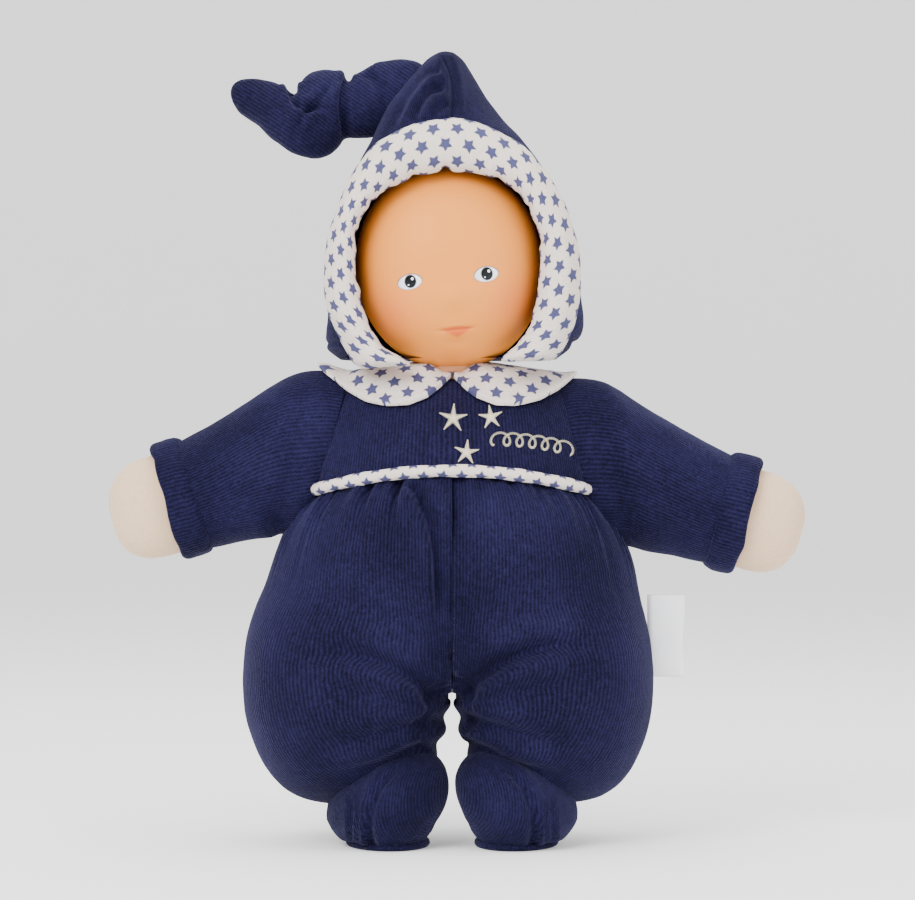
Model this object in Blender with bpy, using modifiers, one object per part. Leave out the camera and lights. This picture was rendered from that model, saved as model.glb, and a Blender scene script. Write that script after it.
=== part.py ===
"""A soft cloth baby doll with a vinyl face, a knotted velour hood and a squeeze-to-play sound module.

Frame: +Z up, the doll faces -Y and its own left is +X. The origin is on the floor between the soles.
Every fabric panel is a thin shell round its stuffing. A head, neck, arm, leg or hood tail turns in a
round hollow in its neighbour, so the solids stay clear of each other over each joint's range.
"""

import math

import bmesh
import bpy
from mathutils import Matrix, Vector

MM = 0.001
WELD = 0.01 * MM
GAP = 0.35 * MM
SIDES = {"left": 1, "right": -1}
SEGMENTS = 20

# Cloth and vinyl thickness
VELOUR = 1.5 * MM
VINYL = 1.6 * MM

# Head: an egg whose widest level is the cheeks
HEAD_AT = Vector((-0.5, 0, 203)) * MM
HEAD_RADII = Vector((34, 33, 37)) * MM
HEAD_ROLL = math.radians(5.5)
FACE_EDGE_Y = 4 * MM

# Neck: a stuffed ball on a short stem
NECK_AT = Vector((0, 2, 167)) * MM
NECK_R = 12 * MM
NECK_STEM_R = 10.5 * MM
NECK_FOOT_Z = 148 * MM

# Hood: rings of (height, centre x, half width, centre y, half depth)
HOOD_RINGS = (
    (172, 0, 36, 11, 26),
    (177, 0, 42, 9, 34),
    (190, 0.5, 44.5, 8, 37),
    (208, 1, 45, 7, 38),
    (224, 1, 42.5, 6, 37),
    (236, 1, 37.5, 5, 34),
    (247, 0.5, 30.5, 4, 29),
    (256, -1, 25.5, 4, 24),
    (264, -5, 22, 4, 19),
    (271, -9, 18, 4, 14),
    (276.5, -12, 12, 4, 9),
    (279.6, -12, 5, 4, 4),
)
HOOD_FRONT_Y = -17 * MM
HEAD_CLEAR = 1.0 * MM

# Tail of the hood: (x, z, half height, half depth) along its length
TAIL_AT = Vector((-24, 4, 261)) * MM
TAIL_BALL_R = 10 * MM
TAIL_RINGS = (
    (-34.5, 260.5, 9.5, 8),
    (-38, 259, 10.5, 9),
    (-44, 257, 13.5, 12),
    (-51, 256.5, 14, 12.5),
    (-57, 256.5, 11.5, 10),
    (-61, 258, 7.5, 7),
    (-69, 259.5, 6.8, 6.5),
    (-76, 260.5, 5.5, 5),
    (-78.6, 261, 2.5, 2.5),
)

# Brim: a padded horseshoe round the face, as (angle from the top, half depth)
BRIM_INNER = Vector((33, 34)) * MM
BRIM_OUTER = Vector((44.5, 47)) * MM
BRIM_INNER_Z = 201 * MM
BRIM_OUTER_Z = 206 * MM
BRIM_END = math.radians(150)
BRIM_Y = -24 * MM
BRIM_HALF_DEPTH = 6.5 * MM
BRIM_STEPS = 20
BRIM_BOTTOM_Z = 169.5 * MM

# Torso: rings of (height, half width, half depth)
TORSO_RINGS = (
    (54, 8, 22),
    (62, 12, 27),
    (74, 24, 33),
    (84, 44, 38),
    (94, 62, 41),
    (104, 66, 42),
    (113, 61.5, 41),
    (121, 55, 39),
    (131, 50, 36),
    (143, 47.5, 31.5),
    (151, 46.5, 26.5),
    (157, 45, 20.5),
    (161.5, 42, 14.5),
    (163.5, 37.5, 10),
)
WAIST_Z = 131.5 * MM
WAIST_DROP = 8 * MM
WAIST_HALF_WIDTH = 52 * MM
PIPING_R = 2.1 * MM
PIPING_END = 46 * MM
PIPING_PROUD = 0.8 * MM
REACH = 120 * MM

# Collar: two flat lobes, outlined from the front by ellipses
COLLAR_CLEAR = 0.4 * MM
COLLAR_THICK = 1.9 * MM
COLLAR_LOBE_AT = Vector((22, 167.5)) * MM
COLLAR_LOBE_RADII = Vector((23.5, 13.5)) * MM

# Arms: sleeves are rings of (distance from the shoulder, half height, half depth)
SHOULDER = Vector((50, 0, 142.5)) * MM
SHOULDER_R = 22 * MM
ARM_DROOP = {"left": math.radians(26), "right": math.radians(23.5)}
SLEEVE_RINGS = ((-9, 19, 14.5), (0, 21.6, 16.5), (14, 21.8, 17.5), (30, 21.4, 17.5), (43.5, 20.6, 17))
CUFF_RINGS = ((43.9, 21.6, 17.8), (47, 22.4, 18.2), (53, 22.6, 18.2), (56, 21.8, 17.4))
HAND_RINGS = (
    (47, 12, 8.5),
    (54, 16.5, 11),
    (62, 17.6, 11.8),
    (69, 16, 11),
    (74.5, 11.5, 8.5),
    (77.3, 5, 4),
)
HAND_RISE = 3.2 * MM
BEAN_PROFILE = ((-21.5, 0), (-21.5, 12), (-16, 15), (10, 15), (16, 11), (17, 0))
ARM_LOWEST = math.radians(8)

# Legs: round about the hip's axis
HIP = Vector((40.3, 0, 62)) * MM
LEG_HALF_WIDTH = 32.2 * MM
LEG_R = 42 * MM
LEG_POWER = 2.5
LEG_CLEAR = 0.8 * MM
ANKLE_X = 24 * MM
ANKLE_R = 8 * MM

# Feet
FOOT_AT = Vector((19, -8, 15)) * MM
FOOT_RADII = Vector((17.3, 28, 17.5)) * MM
FOOT_TURN = math.radians(6)
SOLE_THICK = 2 * MM
SOLE_RADII = Vector((14.5, 24)) * MM

# Side label
LABEL_SIZE = Vector((10, 1, 29)) * MM
LABEL_AT = Vector((78, 0, 73)) * MM

# Embroidery on the chest: (x, z, radius)
STARS = ((0, 149.7, 4.5), (13.3, 150, 3.7), (4.9, 137.8, 4.1))
THREAD = 0.7 * MM

# Sound module: a round case whose axis is Y
MODULE_AT = Vector((0, 20, 114)) * MM
CASE_R = 22 * MM
CASE_HALF = 10 * MM
CASE_WALL = 1.5 * MM
PLATE_R = 15 * MM
PLATE_TRAVEL = 1.8 * MM
CELL_R = 3.95 * MM
CELL_THICK = 3.6 * MM
CELLS = ((-8.6, -9), (0, -9), (8.6, -9))
DOOR_HALF = Vector((13.5, 0, 5)) * MM
SPEAKER_R = 9.5 * MM
SPEAKER_UP = 8.5 * MM
POUCH_WALL = 0.9 * MM

# Back closure
FLAP_HALF_WIDTH = 26 * MM
FLAP_Z = (91 * MM, 126 * MM)
SLIT_HALF_WIDTH = 21 * MM
SLIT_Z = (98 * MM, 120.5 * MM)

MATERIALS = {
    "navy_velour": ((0.03, 0.045, 0.16), 0.95, 0),
    "star_velour": ((0.75, 0.7, 0.68), 0.95, 0),
    "vinyl_skin": ((0.83, 0.5, 0.3), 0.45, 0),
    "cloth_skin": ((0.8, 0.64, 0.54), 0.9, 0),
    "polyester_fill": ((0.9, 0.9, 0.88), 1.0, 0),
    "bean_cloth": ((0.7, 0.68, 0.62), 0.95, 0),
    "gold_thread": ((0.8, 0.74, 0.55), 0.5, 0),
    "satin_label": ((0.93, 0.93, 0.95), 0.5, 0),
    "hook_and_loop": ((0.04, 0.05, 0.13), 0.95, 0),
    "case_plastic": ((0.85, 0.85, 0.83), 0.4, 0),
    "board": ((0.03, 0.22, 0.1), 0.5, 0),
    "steel": ((0.6, 0.6, 0.62), 0.3, 1),
    "speaker_cone": ((0.05, 0.05, 0.055), 0.7, 0),
    "wire_red": ((0.6, 0.03, 0.03), 0.5, 0),
    "wire_black": ((0.02, 0.02, 0.02), 0.5, 0),
}


# ---------------------------------------------------------------- scene and helpers


def start_scene():
    for obj in list(bpy.data.objects):
        bpy.data.objects.remove(obj)
    for name in ("baby_doll", "cutters"):
        collection = bpy.data.collections.new(name)
        bpy.context.scene.collection.children.link(collection)
    bpy.data.collections["cutters"].hide_render = True


def material(name):
    found = bpy.data.materials.get(name)
    if found:
        return found
    made = bpy.data.materials.new(name)
    made.use_nodes = True
    shader = made.node_tree.nodes["Principled BSDF"]
    colour, roughness, metallic = MATERIALS[name]
    shader.inputs["Base Color"].default_value = (*colour, 1)
    shader.inputs["Roughness"].default_value = roughness
    shader.inputs["Metallic"].default_value = metallic
    return made


def empty(name, at, parent=None):
    made = bpy.data.objects.new(name, None)
    made.location = at
    bpy.data.collections["baby_doll"].objects.link(made)
    if parent:
        hang(made, parent)
    return made


def hang(obj, parent):
    """Parents obj where it stands."""
    bpy.context.view_layer.update()
    obj.parent = parent
    obj.matrix_parent_inverse = parent.matrix_world.inverted()


def closed_mesh(name, bm):
    """The mesh of bm, in triangles so that every face is flat. bm is freed."""
    bmesh.ops.triangulate(bm, faces=bm.faces[:])
    bmesh.ops.recalc_face_normals(bm, faces=bm.faces[:])
    mesh = bpy.data.meshes.new(name)
    bm.to_mesh(mesh)
    bm.free()
    return mesh


def piece(name, bm, finish, parent=None):
    """A sub-part of the doll from a bmesh in world coordinates."""
    mesh = closed_mesh(name, bm)
    mesh.shade_smooth()
    mesh.set_sharp_from_angle(angle=math.radians(40))
    obj = bpy.data.objects.new(name, mesh)
    obj.data.materials.append(material(finish))
    bpy.data.collections["baby_doll"].objects.link(obj)
    if parent:
        hang(obj, parent)
    return obj


def cutter(name, bm):
    obj = bpy.data.objects.new(name, closed_mesh(name, bm))
    obj.hide_render = True
    obj.display_type = "WIRE"
    bpy.data.collections["cutters"].objects.link(obj)
    return obj


def combine(obj, operation, tools):
    for tool in tools:
        modifier = obj.modifiers.new(f"{operation.lower()} {tool.name}", "BOOLEAN")
        modifier.operation = operation
        modifier.solver = "EXACT"
        modifier.object = tool
    return obj


def cut(obj, *tools):
    return combine(obj, "DIFFERENCE", tools)


def clip(obj, *tools):
    return combine(obj, "INTERSECT", tools)


# ---------------------------------------------------------------- shapes


def superellipse(count, half_a, half_b, power=2.0):
    """Points round a superellipse, as (a, b) pairs."""
    points = []
    for i in range(count):
        turn = 2 * math.pi * i / count
        c, s = math.cos(turn), math.sin(turn)
        points.append(
            (
                half_a * math.copysign(abs(c) ** (2 / power), c),
                half_b * math.copysign(abs(s) ** (2 / power), s),
            )
        )
    return points


def loft(rings):
    """A closed skin over rings of points, with flat ends."""
    bm = bmesh.new()
    loops = []
    for ring in rings:
        verts = [bm.verts.new(p) for p in ring]
        edges = [bm.edges.new((a, b)) for a, b in zip(verts, verts[1:] + verts[:1])]
        loops.append((verts, edges))
    for (_, lower), (_, upper) in zip(loops, loops[1:]):
        bmesh.ops.bridge_loops(bm, edges=lower + upper)
    bm.faces.new(loops[0][0])
    bm.faces.new(loops[-1][0])
    return bm


def evaluated(obj):
    """An object's shape with its modifiers, as a bmesh. The object is removed."""
    bpy.context.scene.collection.objects.link(obj)
    graph = bpy.context.evaluated_depsgraph_get()
    mesh = bpy.data.meshes.new_from_object(obj.evaluated_get(graph), depsgraph=graph)
    bm = bmesh.new()
    bm.from_mesh(mesh)
    bpy.data.meshes.remove(mesh)
    bpy.data.objects.remove(obj)
    bmesh.ops.remove_doubles(bm, verts=bm.verts[:], dist=WELD)
    return bm


def turned(profile, at, axis):
    """A solid of revolution: profile is (distance along axis, radius) pairs, from low end to high end."""
    mesh = bpy.data.meshes.new("profile")
    points = [(radius, 0, along) for along, radius in reversed(profile)]
    mesh.from_pydata(points, [(i, i + 1) for i in range(len(points) - 1)], [])
    obj = bpy.data.objects.new("profile", mesh)
    screw = obj.modifiers.new("turn", "SCREW")
    screw.steps = SEGMENTS
    screw.render_steps = SEGMENTS
    screw.use_merge_vertices = True
    screw.merge_threshold = WELD
    bm = evaluated(obj)
    lean = Vector((0, 0, 1)).rotation_difference(Vector(axis)).to_matrix().to_4x4()
    bmesh.ops.transform(bm, matrix=Matrix.Translation(at) @ lean, verts=bm.verts[:])
    return bm


def rod(at, axis, radius, start, end, segments=SEGMENTS):
    """A cylinder along axis, from start to end measured from at."""
    bm = bmesh.new()
    bmesh.ops.create_cone(
        bm, cap_ends=True, segments=segments, radius1=radius, radius2=radius, depth=end - start
    )
    turn = Vector((0, 0, 1)).rotation_difference(Vector(axis)).to_matrix().to_4x4()
    place = Matrix.Translation(at + Vector(axis) * (start + end) / 2)
    bmesh.ops.transform(bm, matrix=place @ turn, verts=bm.verts[:])
    return bm


def block(low, high):
    bm = bmesh.new()
    bmesh.ops.create_cube(bm, size=1)
    low, high = Vector(low), Vector(high)
    place = Matrix.Translation((low + high) / 2) @ Matrix.Diagonal((*(high - low), 1))
    bmesh.ops.transform(bm, matrix=place, verts=bm.verts[:])
    return bm


def egg(at, radii, roll=0.0, segments=SEGMENTS, rings=14):
    bm = bmesh.new()
    bmesh.ops.create_uvsphere(bm, u_segments=segments, v_segments=rings, radius=1)
    place = Matrix.Translation(at) @ Matrix.Rotation(-roll, 4, "Y") @ Matrix.Diagonal((*radii, 1))
    bmesh.ops.transform(bm, matrix=place, verts=bm.verts[:])
    return bm


def prism(outline, low_y, high_y):
    """A flat outline in x and z, as thick along Y as from low_y to high_y."""
    curve = bpy.data.curves.new("outline", "CURVE")
    curve.dimensions = "2D"
    curve.fill_mode = "BOTH"
    curve.extrude = (high_y - low_y) / 2
    line = curve.splines.new("POLY")
    line.points.add(len(outline) - 1)
    for point, (x, z) in zip(line.points, outline):
        point.co = (x, z, 0, 1)
    line.use_cyclic_u = True
    bm = evaluated(bpy.data.objects.new("outline", curve))
    stand = Matrix.Translation((0, (low_y + high_y) / 2, 0)) @ Matrix.Rotation(math.pi / 2, 4, "X")
    bmesh.ops.transform(bm, matrix=stand, verts=bm.verts[:])
    return bm


def torso_form(grow=0.0):
    """The torso's outside, grown or shrunk all round."""
    rings = []
    for level, (z, half_width, half_depth) in enumerate(TORSO_RINGS):
        lift = -grow if level == 0 else grow if level == len(TORSO_RINGS) - 1 else 0
        outline = superellipse(24, half_width * MM + grow, half_depth * MM + grow, power=2.3)
        rings.append([(a, b, z * MM + lift) for a, b in outline])
    return loft(rings)


def torso_depth(x, z, grow=0.0):
    """How far the torso's surface is from the plane y = 0 at x and z."""
    heights = [ring[0] * MM for ring in TORSO_RINGS]
    level = max(i for i, h in enumerate(heights[:-1]) if h <= z)
    share = (z - heights[level]) / (heights[level + 1] - heights[level])
    half_width, half_depth = (
        (TORSO_RINGS[level][k] * (1 - share) + TORSO_RINGS[level + 1][k] * share) * MM + grow
        for k in (1, 2)
    )
    return half_depth * max(0.0, 1 - abs(x / half_width) ** 2.3) ** (1 / 2.3)


def waist(x):
    """Height of the waist seam, which arches over the tummy."""
    return WAIST_Z - WAIST_DROP * min(1.3, (x / WAIST_HALF_WIDTH) ** 2)


def waist_band(x_range, clearance, upward):
    """Outline from the front of what lies above or below the waist seam."""
    steps = 12
    low, high = x_range
    xs = [low + (high - low) * i / steps for i in range(steps + 1)]
    seam = [(x, waist(x) + (clearance if upward else -clearance)) for x in xs]
    far = 200 * MM if upward else 40 * MM
    return seam + [(high, far), (low, far)]


def leg_profile(grow=0.0):
    points = []
    steps = 12
    for i in range(steps + 1):
        turn = math.pi * i / steps
        c, s = math.cos(turn), max(0.0, math.sin(turn))
        along = -(LEG_HALF_WIDTH + grow) * math.copysign(abs(c) ** (2 / LEG_POWER), c)
        radius = 0.0 if i in (0, steps) else (LEG_R + grow) * s ** (2 / LEG_POWER)
        points.append((along, radius))
    return points


def leg_form(side, grow=0.0):
    at = Vector((HIP.x * SIDES[side], HIP.y, HIP.z))
    return turned(leg_profile(grow), at, (1, 0, 0))


def shoulder_of(side):
    return Vector((SHOULDER.x * SIDES[side], SHOULDER.y, SHOULDER.z))


def arm_form(side, rings, grow=0.0, rise=0.0, droop=None):
    """Rings square to the arm's line, which slopes down and out from the shoulder."""
    droop = ARM_DROOP[side] if droop is None else droop
    along = Vector((SIDES[side] * math.cos(droop), 0, -math.sin(droop)))
    up = Vector((SIDES[side] * math.sin(droop), 0, math.cos(droop)))
    made = []
    for distance, half_height, half_depth in rings:
        share = min(1.0, max(0.0, distance * MM / (HAND_RINGS[-1][0] * MM)))
        centre = shoulder_of(side) + along * distance * MM + up * rise * share
        outline = superellipse(20, half_height * MM + grow, half_depth * MM + grow, power=2.2)
        made.append([centre + up * a + Vector((0, 1, 0)) * b for a, b in outline])
    return loft(made)


def star(x, z, radius, inner_share=0.45, points=5):
    outline = []
    for i in range(2 * points):
        reach = radius * (1 if i % 2 == 0 else inner_share)
        turn = math.pi * i / points
        outline.append((x + reach * math.sin(turn), z + reach * math.cos(turn)))
    return outline


def wire(name, points, radius, finish, parent=None):
    """A round wire through points."""
    curve = bpy.data.curves.new(name, "CURVE")
    curve.dimensions = "3D"
    curve.bevel_depth = radius
    curve.bevel_resolution = 2
    curve.use_fill_caps = True
    spline = curve.splines.new("POLY")
    spline.points.add(len(points) - 1)
    for point, place in zip(spline.points, points):
        point.co = (*place, 1)
    obj = bpy.data.objects.new(name, curve)
    obj.data.materials.append(material(finish))
    bpy.data.collections["baby_doll"].objects.link(obj)
    if parent:
        hang(obj, parent)
    return obj


# ---------------------------------------------------------------- cutters that several pieces share


def make_cutters():
    tools = {}
    for side in SIDES:
        ball = Vector((SHOULDER_R + LEG_CLEAR,) * 3)
        tools[f"shoulder_{side}"] = cutter(
            f"shoulder_hollow_{side}", egg(shoulder_of(side), ball, -SIDES[side] * ARM_DROOP[side])
        )
        rings = SLEEVE_RINGS[1:] + CUFF_RINGS[1:]
        lowest = ARM_DROOP[side] + ARM_LOWEST
        tools[f"arm_{side}"] = cutter(f"arm_hollow_{side}", arm_form(side, rings, LEG_CLEAR, droop=lowest))
        tools[f"hip_{side}"] = cutter(f"hip_hollow_{side}", leg_form(side, LEG_CLEAR))
    tools["neck"] = cutter("neck_hollow", egg(NECK_AT, Vector((NECK_R + LEG_CLEAR,) * 3)))
    tools["stem"] = cutter(
        "stem_hollow", rod(NECK_AT, (0, 0, 1), NECK_STEM_R + GAP, NECK_FOOT_Z - NECK_AT.z - GAP, 0)
    )
    tools["skin"] = cutter("torso_inside", torso_form(-VELOUR))
    tools["slit"] = cutter(
        "slit",
        block((-SLIT_HALF_WIDTH, 20 * MM, SLIT_Z[0]), (SLIT_HALF_WIDTH, 60 * MM, SLIT_Z[1])),
    )
    pocket_start = -(CASE_HALF + 5.2 * MM)
    tools["pocket"] = cutter(
        "pocket_hollow",
        rod(MODULE_AT, (0, 1, 0), CASE_R + 2 * GAP + POUCH_WALL + GAP, pocket_start, 40 * MM),
    )
    return tools


def pick(tools, *kinds):
    """The named hollows, with both sides of those that come in pairs."""
    picked = []
    for kind in kinds:
        picked += [tools[kind]] if kind in tools else [tools[f"{kind}_{side}"] for side in SIDES]
    return picked


# ---------------------------------------------------------------- head and hood


def make_head(parent, tools):
    small = Vector((GAP,) * 3)
    wall = Vector((VINYL,) * 3)
    behind = cutter("behind_face", block((-REACH, FACE_EDGE_Y, 0), (REACH, REACH, 3 * REACH)))
    before = cutter("before_seam", block((-REACH, -REACH, 0), (REACH, FACE_EDGE_Y + GAP, 3 * REACH)))
    inside = cutter("head_inside", egg(HEAD_AT, HEAD_RADII - wall, HEAD_ROLL))
    face = piece("vinyl_face", egg(HEAD_AT, HEAD_RADII, HEAD_ROLL), "vinyl_skin", parent)
    cut(face, inside, behind, tools["neck"])
    back = piece("head_back", egg(HEAD_AT, HEAD_RADII, HEAD_ROLL), "cloth_skin", parent)
    cut(back, inside, before, tools["neck"])
    filling = egg(HEAD_AT, HEAD_RADII - wall - small, HEAD_ROLL)
    cut(piece("head_stuffing", filling, "polyester_fill", parent), tools["neck"])


def hood_form():
    rings = []
    for z, centre_x, half_width, centre_y, half_depth in HOOD_RINGS:
        outline = superellipse(24, half_width * MM, half_depth * MM, power=2.15)
        rings.append([(centre_x * MM + a, centre_y * MM + b, z * MM) for a, b in outline])
    return loft(rings)


def make_hood(parent):
    tail_hollow = cutter("tail_hollow", egg(TAIL_AT, Vector((TAIL_BALL_R + LEG_CLEAR,) * 3)))
    front = cutter("hood_mouth", block((-REACH, -REACH, 0), (REACH, HOOD_FRONT_Y, 3 * REACH)))
    clear = Vector((HEAD_CLEAR,) * 3)
    head = cutter("head_in_hood", egg(HEAD_AT, HEAD_RADII + clear, HEAD_ROLL))
    neck_way = cutter("neck_way", rod(NECK_AT, (0, 0, 1), 20 * MM, -10 * MM, 20 * MM))
    for side, sign in SIDES.items():
        half = cutter(
            f"hood_other_side_{side}",
            block(
                (min(-sign * REACH, sign * GAP / 2), -REACH, 0),
                (max(-sign * REACH, sign * GAP / 2), REACH, 3 * REACH),
            ),
        )
        panel = piece(f"hood_{side}", hood_form(), "navy_velour", parent)
        cut(panel, half, front, head, tail_hollow, neck_way)


def brim_rings():
    rings = []
    for i in range(BRIM_STEPS + 1):
        turn = BRIM_END * (2 * i / BRIM_STEPS - 1)
        inner = Vector((BRIM_INNER.x * math.sin(turn), BRIM_INNER_Z + BRIM_INNER.y * math.cos(turn)))
        outer = Vector((BRIM_OUTER.x * math.sin(turn), BRIM_OUTER_Z + BRIM_OUTER.y * math.cos(turn)))
        middle, half = (inner + outer) / 2, (outer - inner) / 2
        out = Vector((half.x, 0, half.y))
        ring = []
        for a, b in superellipse(12, 1, BRIM_HALF_DEPTH):
            ring.append(Vector((middle.x + 0.5 * MM, BRIM_Y, middle.y)) + out * a + Vector((0, b, 0)))
        rings.append(ring)
    return rings


def make_brim(parent):
    clear = Vector((GAP,) * 3)
    head = cutter("head_in_brim", egg(HEAD_AT, HEAD_RADII + clear, HEAD_ROLL))
    low = cutter("below_brim", block((-REACH, -REACH, 0), (REACH, REACH, BRIM_BOTTOM_Z)))
    cut(piece("hood_brim", loft(brim_rings()), "star_velour", parent), head, low)


def make_tail(parent):
    ball = []
    for turn in (150, 120, 90, 60, 38):
        angle = math.radians(turn)
        along, radius = TAIL_BALL_R * math.cos(angle), TAIL_BALL_R * math.sin(angle)
        ball.append((TAIL_AT.x - along, TAIL_AT.z, radius))
    rings = []
    for x, z, radius in ball:
        outline = superellipse(16, radius, radius)
        rings.append([(x, TAIL_AT.y + b, z + a) for a, b in outline])
    for x, z, half_height, half_depth in TAIL_RINGS:
        outline = superellipse(16, half_height * MM, half_depth * MM)
        rings.append([(x * MM, TAIL_AT.y + b, z * MM + a) for a, b in outline])
    piece("hood_tail", loft(rings), "navy_velour", parent)


# ---------------------------------------------------------------- neck and torso


def make_neck(parent):
    profile = [(NECK_FOOT_Z - NECK_AT.z, 0), (NECK_FOOT_Z - NECK_AT.z, NECK_STEM_R)]
    lowest = math.acos(NECK_STEM_R / NECK_R)
    steps = 8
    for i in range(steps + 1):
        turn = -lowest + (math.pi / 2 + lowest) * i / steps
        profile.append((NECK_R * math.sin(turn), NECK_R * math.cos(turn) if i < steps else 0))
    piece("neck", turned(profile, NECK_AT, (0, 0, 1)), "cloth_skin", parent)


def make_torso_shells(tools):
    far = REACH
    above = waist_band((-far, far), PIPING_R + GAP, True)
    for name, low, high in (("chest_yoke", -far, -GAP / 2), ("back_yoke", GAP / 2, far)):
        region = cutter(f"{name}_region", prism(above, low, high))
        shell = piece(name, torso_form(), "navy_velour")
        clip(cut(shell, *pick(tools, "shoulder", "neck", "skin")), region)
    for side, sign in SIDES.items():
        x_range = sorted((sign * GAP / 2, sign * far))
        below = waist_band(x_range, PIPING_R + GAP, False)
        for part, low, high in (("front", -far, -GAP / 2), ("back", GAP / 2, far)):
            name = f"romper_{part}_{side}"
            region = cutter(f"{name}_region", prism(below, low, high))
            shell = clip(piece(name, torso_form(), "navy_velour"), region)
            cut(shell, tools["skin"], *(tools[f"{kind}_{side}"] for kind in ("shoulder", "arm", "hip")))
            if part == "back":
                cut(shell, tools["slit"])


def make_piping():
    """The waist piping, which stops at the armholes front and back."""
    steps = 28
    for name, side in (("front", -1), ("back", 1)):
        points = []
        for i in range(steps + 1):
            x = PIPING_END * math.sin(math.pi * (i / steps - 0.5))
            z = waist(x)
            points.append((x, side * torso_depth(x, z, PIPING_PROUD), z))
        wire(f"waist_piping_{name}", points, PIPING_R, "star_velour")


def make_collar(tools):
    inside = cutter("collar_inside", torso_form(COLLAR_CLEAR))
    mouth = cutter("collar_mouth", rod(NECK_AT, (0, 0, 1), 15 * MM, -6 * MM, 20 * MM))
    for side, sign in SIDES.items():
        lobe = [
            (sign * max(GAP / 2, COLLAR_LOBE_AT.x + a), COLLAR_LOBE_AT.y + b)
            for a, b in superellipse(28, *COLLAR_LOBE_RADII, power=2.0)
        ]
        region = cutter(f"collar_region_{side}", prism(lobe, -REACH, REACH))
        flat = piece(f"collar_{side}", torso_form(COLLAR_CLEAR + COLLAR_THICK), "star_velour")
        clip(flat, region)
        cut(flat, inside, mouth)
        cut(flat, tools[f"shoulder_{side}"])


def make_torso_stuffing(tools):
    filling = piece("torso_stuffing", torso_form(-VELOUR - GAP), "polyester_fill")
    cut(filling, *pick(tools, "neck", "stem", "shoulder", "arm", "hip", "pocket"))


def make_embroidery():
    for number, (x, z, radius) in enumerate(STARS, 1):
        depth = torso_depth(x * MM, z * MM)
        bm = prism(star(0, 0, radius * MM), -THREAD, 0)
        ahead = torso_depth((x + 1) * MM, z * MM) - torso_depth((x - 1) * MM, z * MM)
        upward = torso_depth(x * MM, (z + 1) * MM) - torso_depth(x * MM, (z - 1) * MM)
        lean = Matrix.Rotation(math.atan2(-ahead, 2 * MM), 4, "Z") @ Matrix.Rotation(
            math.atan2(upward, 2 * MM), 4, "X"
        )
        place = Matrix.Translation((x * MM, -depth - 2 * GAP, z * MM))
        bmesh.ops.transform(bm, matrix=place @ lean, verts=bm.verts[:])
        piece(f"embroidered_star_{number}", bm, "gold_thread")
    steps = 24
    points = []
    for i in range(steps + 1):
        x = (16 + 28 * i / steps) * MM
        z = (141 + 2.2 * abs(math.sin(2.5 * math.pi * i / steps)) - 5 * (i / steps) ** 2) * MM
        points.append((x, -torso_depth(x, z) - THREAD - GAP, z))
    wire("stitched_scallops", points, THREAD / 2, "gold_thread")


# ---------------------------------------------------------------- limbs


def make_arm(side, parent):
    hollow = cutter(
        f"sleeve_inside_{side}",
        arm_form(side, ((-12, 18, 13.5),) + SLEEVE_RINGS[:-1] + ((60, 20.4, 16.8),), -VELOUR),
    )
    cut(piece(f"sleeve_{side}", arm_form(side, SLEEVE_RINGS), "navy_velour", parent), hollow)
    cuff_hollow = cutter(
        f"cuff_inside_{side}", arm_form(side, ((40, 20.6, 17), (60, 20.6, 17)), -0.2 * MM)
    )
    cut(piece(f"cuff_{side}", arm_form(side, CUFF_RINGS), "navy_velour", parent), cuff_hollow)
    filling = ((-8.5, 19, 14.5),) + SLEEVE_RINGS[1:-1] + ((42.5, 20.8, 17.1),)
    body = arm_form(side, filling, -VELOUR - GAP)
    piece(f"arm_stuffing_{side}", body, "polyester_fill", parent)
    piece(f"hand_{side}", arm_form(side, HAND_RINGS, rise=HAND_RISE), "cloth_skin", parent)


def make_leg(side, parent):
    sign = SIDES[side]
    hip = Vector((HIP.x * sign, HIP.y, HIP.z))
    ankle = Vector((ANKLE_X * sign, 0, HIP.z))
    waist_hole = cutter(f"leg_top_{side}", rod(hip, (0, 0, 1), 17 * MM, 0, 60 * MM))
    ankle_hole = cutter(f"leg_end_{side}", rod(ankle, (0, 0, 1), ANKLE_R, -60 * MM, -20 * MM))
    inside = cutter(f"leg_inside_{side}", leg_form(side, -VELOUR))
    cut(
        piece(f"trouser_leg_{side}", leg_form(side), "navy_velour", parent),
        inside,
        waist_hole,
        ankle_hole,
    )
    bean_hole = cutter(f"bean_hollow_{side}", rod(hip, (0, 0, 1), 15.5 * MM, -22 * MM, 60 * MM, 20))
    filling = piece(f"leg_stuffing_{side}", leg_form(side, -VELOUR - GAP), "polyester_fill", parent)
    cut(filling, bean_hole)
    beans = [(along * MM, radius * MM) for along, radius in BEAN_PROFILE]
    piece(f"bean_pouch_{side}", turned(beans, hip, (0, 0, 1)), "bean_cloth", parent)
    make_foot(side, parent)


def foot_place(side):
    sign = SIDES[side]
    at = Vector((FOOT_AT.x * sign, FOOT_AT.y, 0))
    return Matrix.Translation(at) @ Matrix.Rotation(-sign * FOOT_TURN, 4, "Z")


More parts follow.
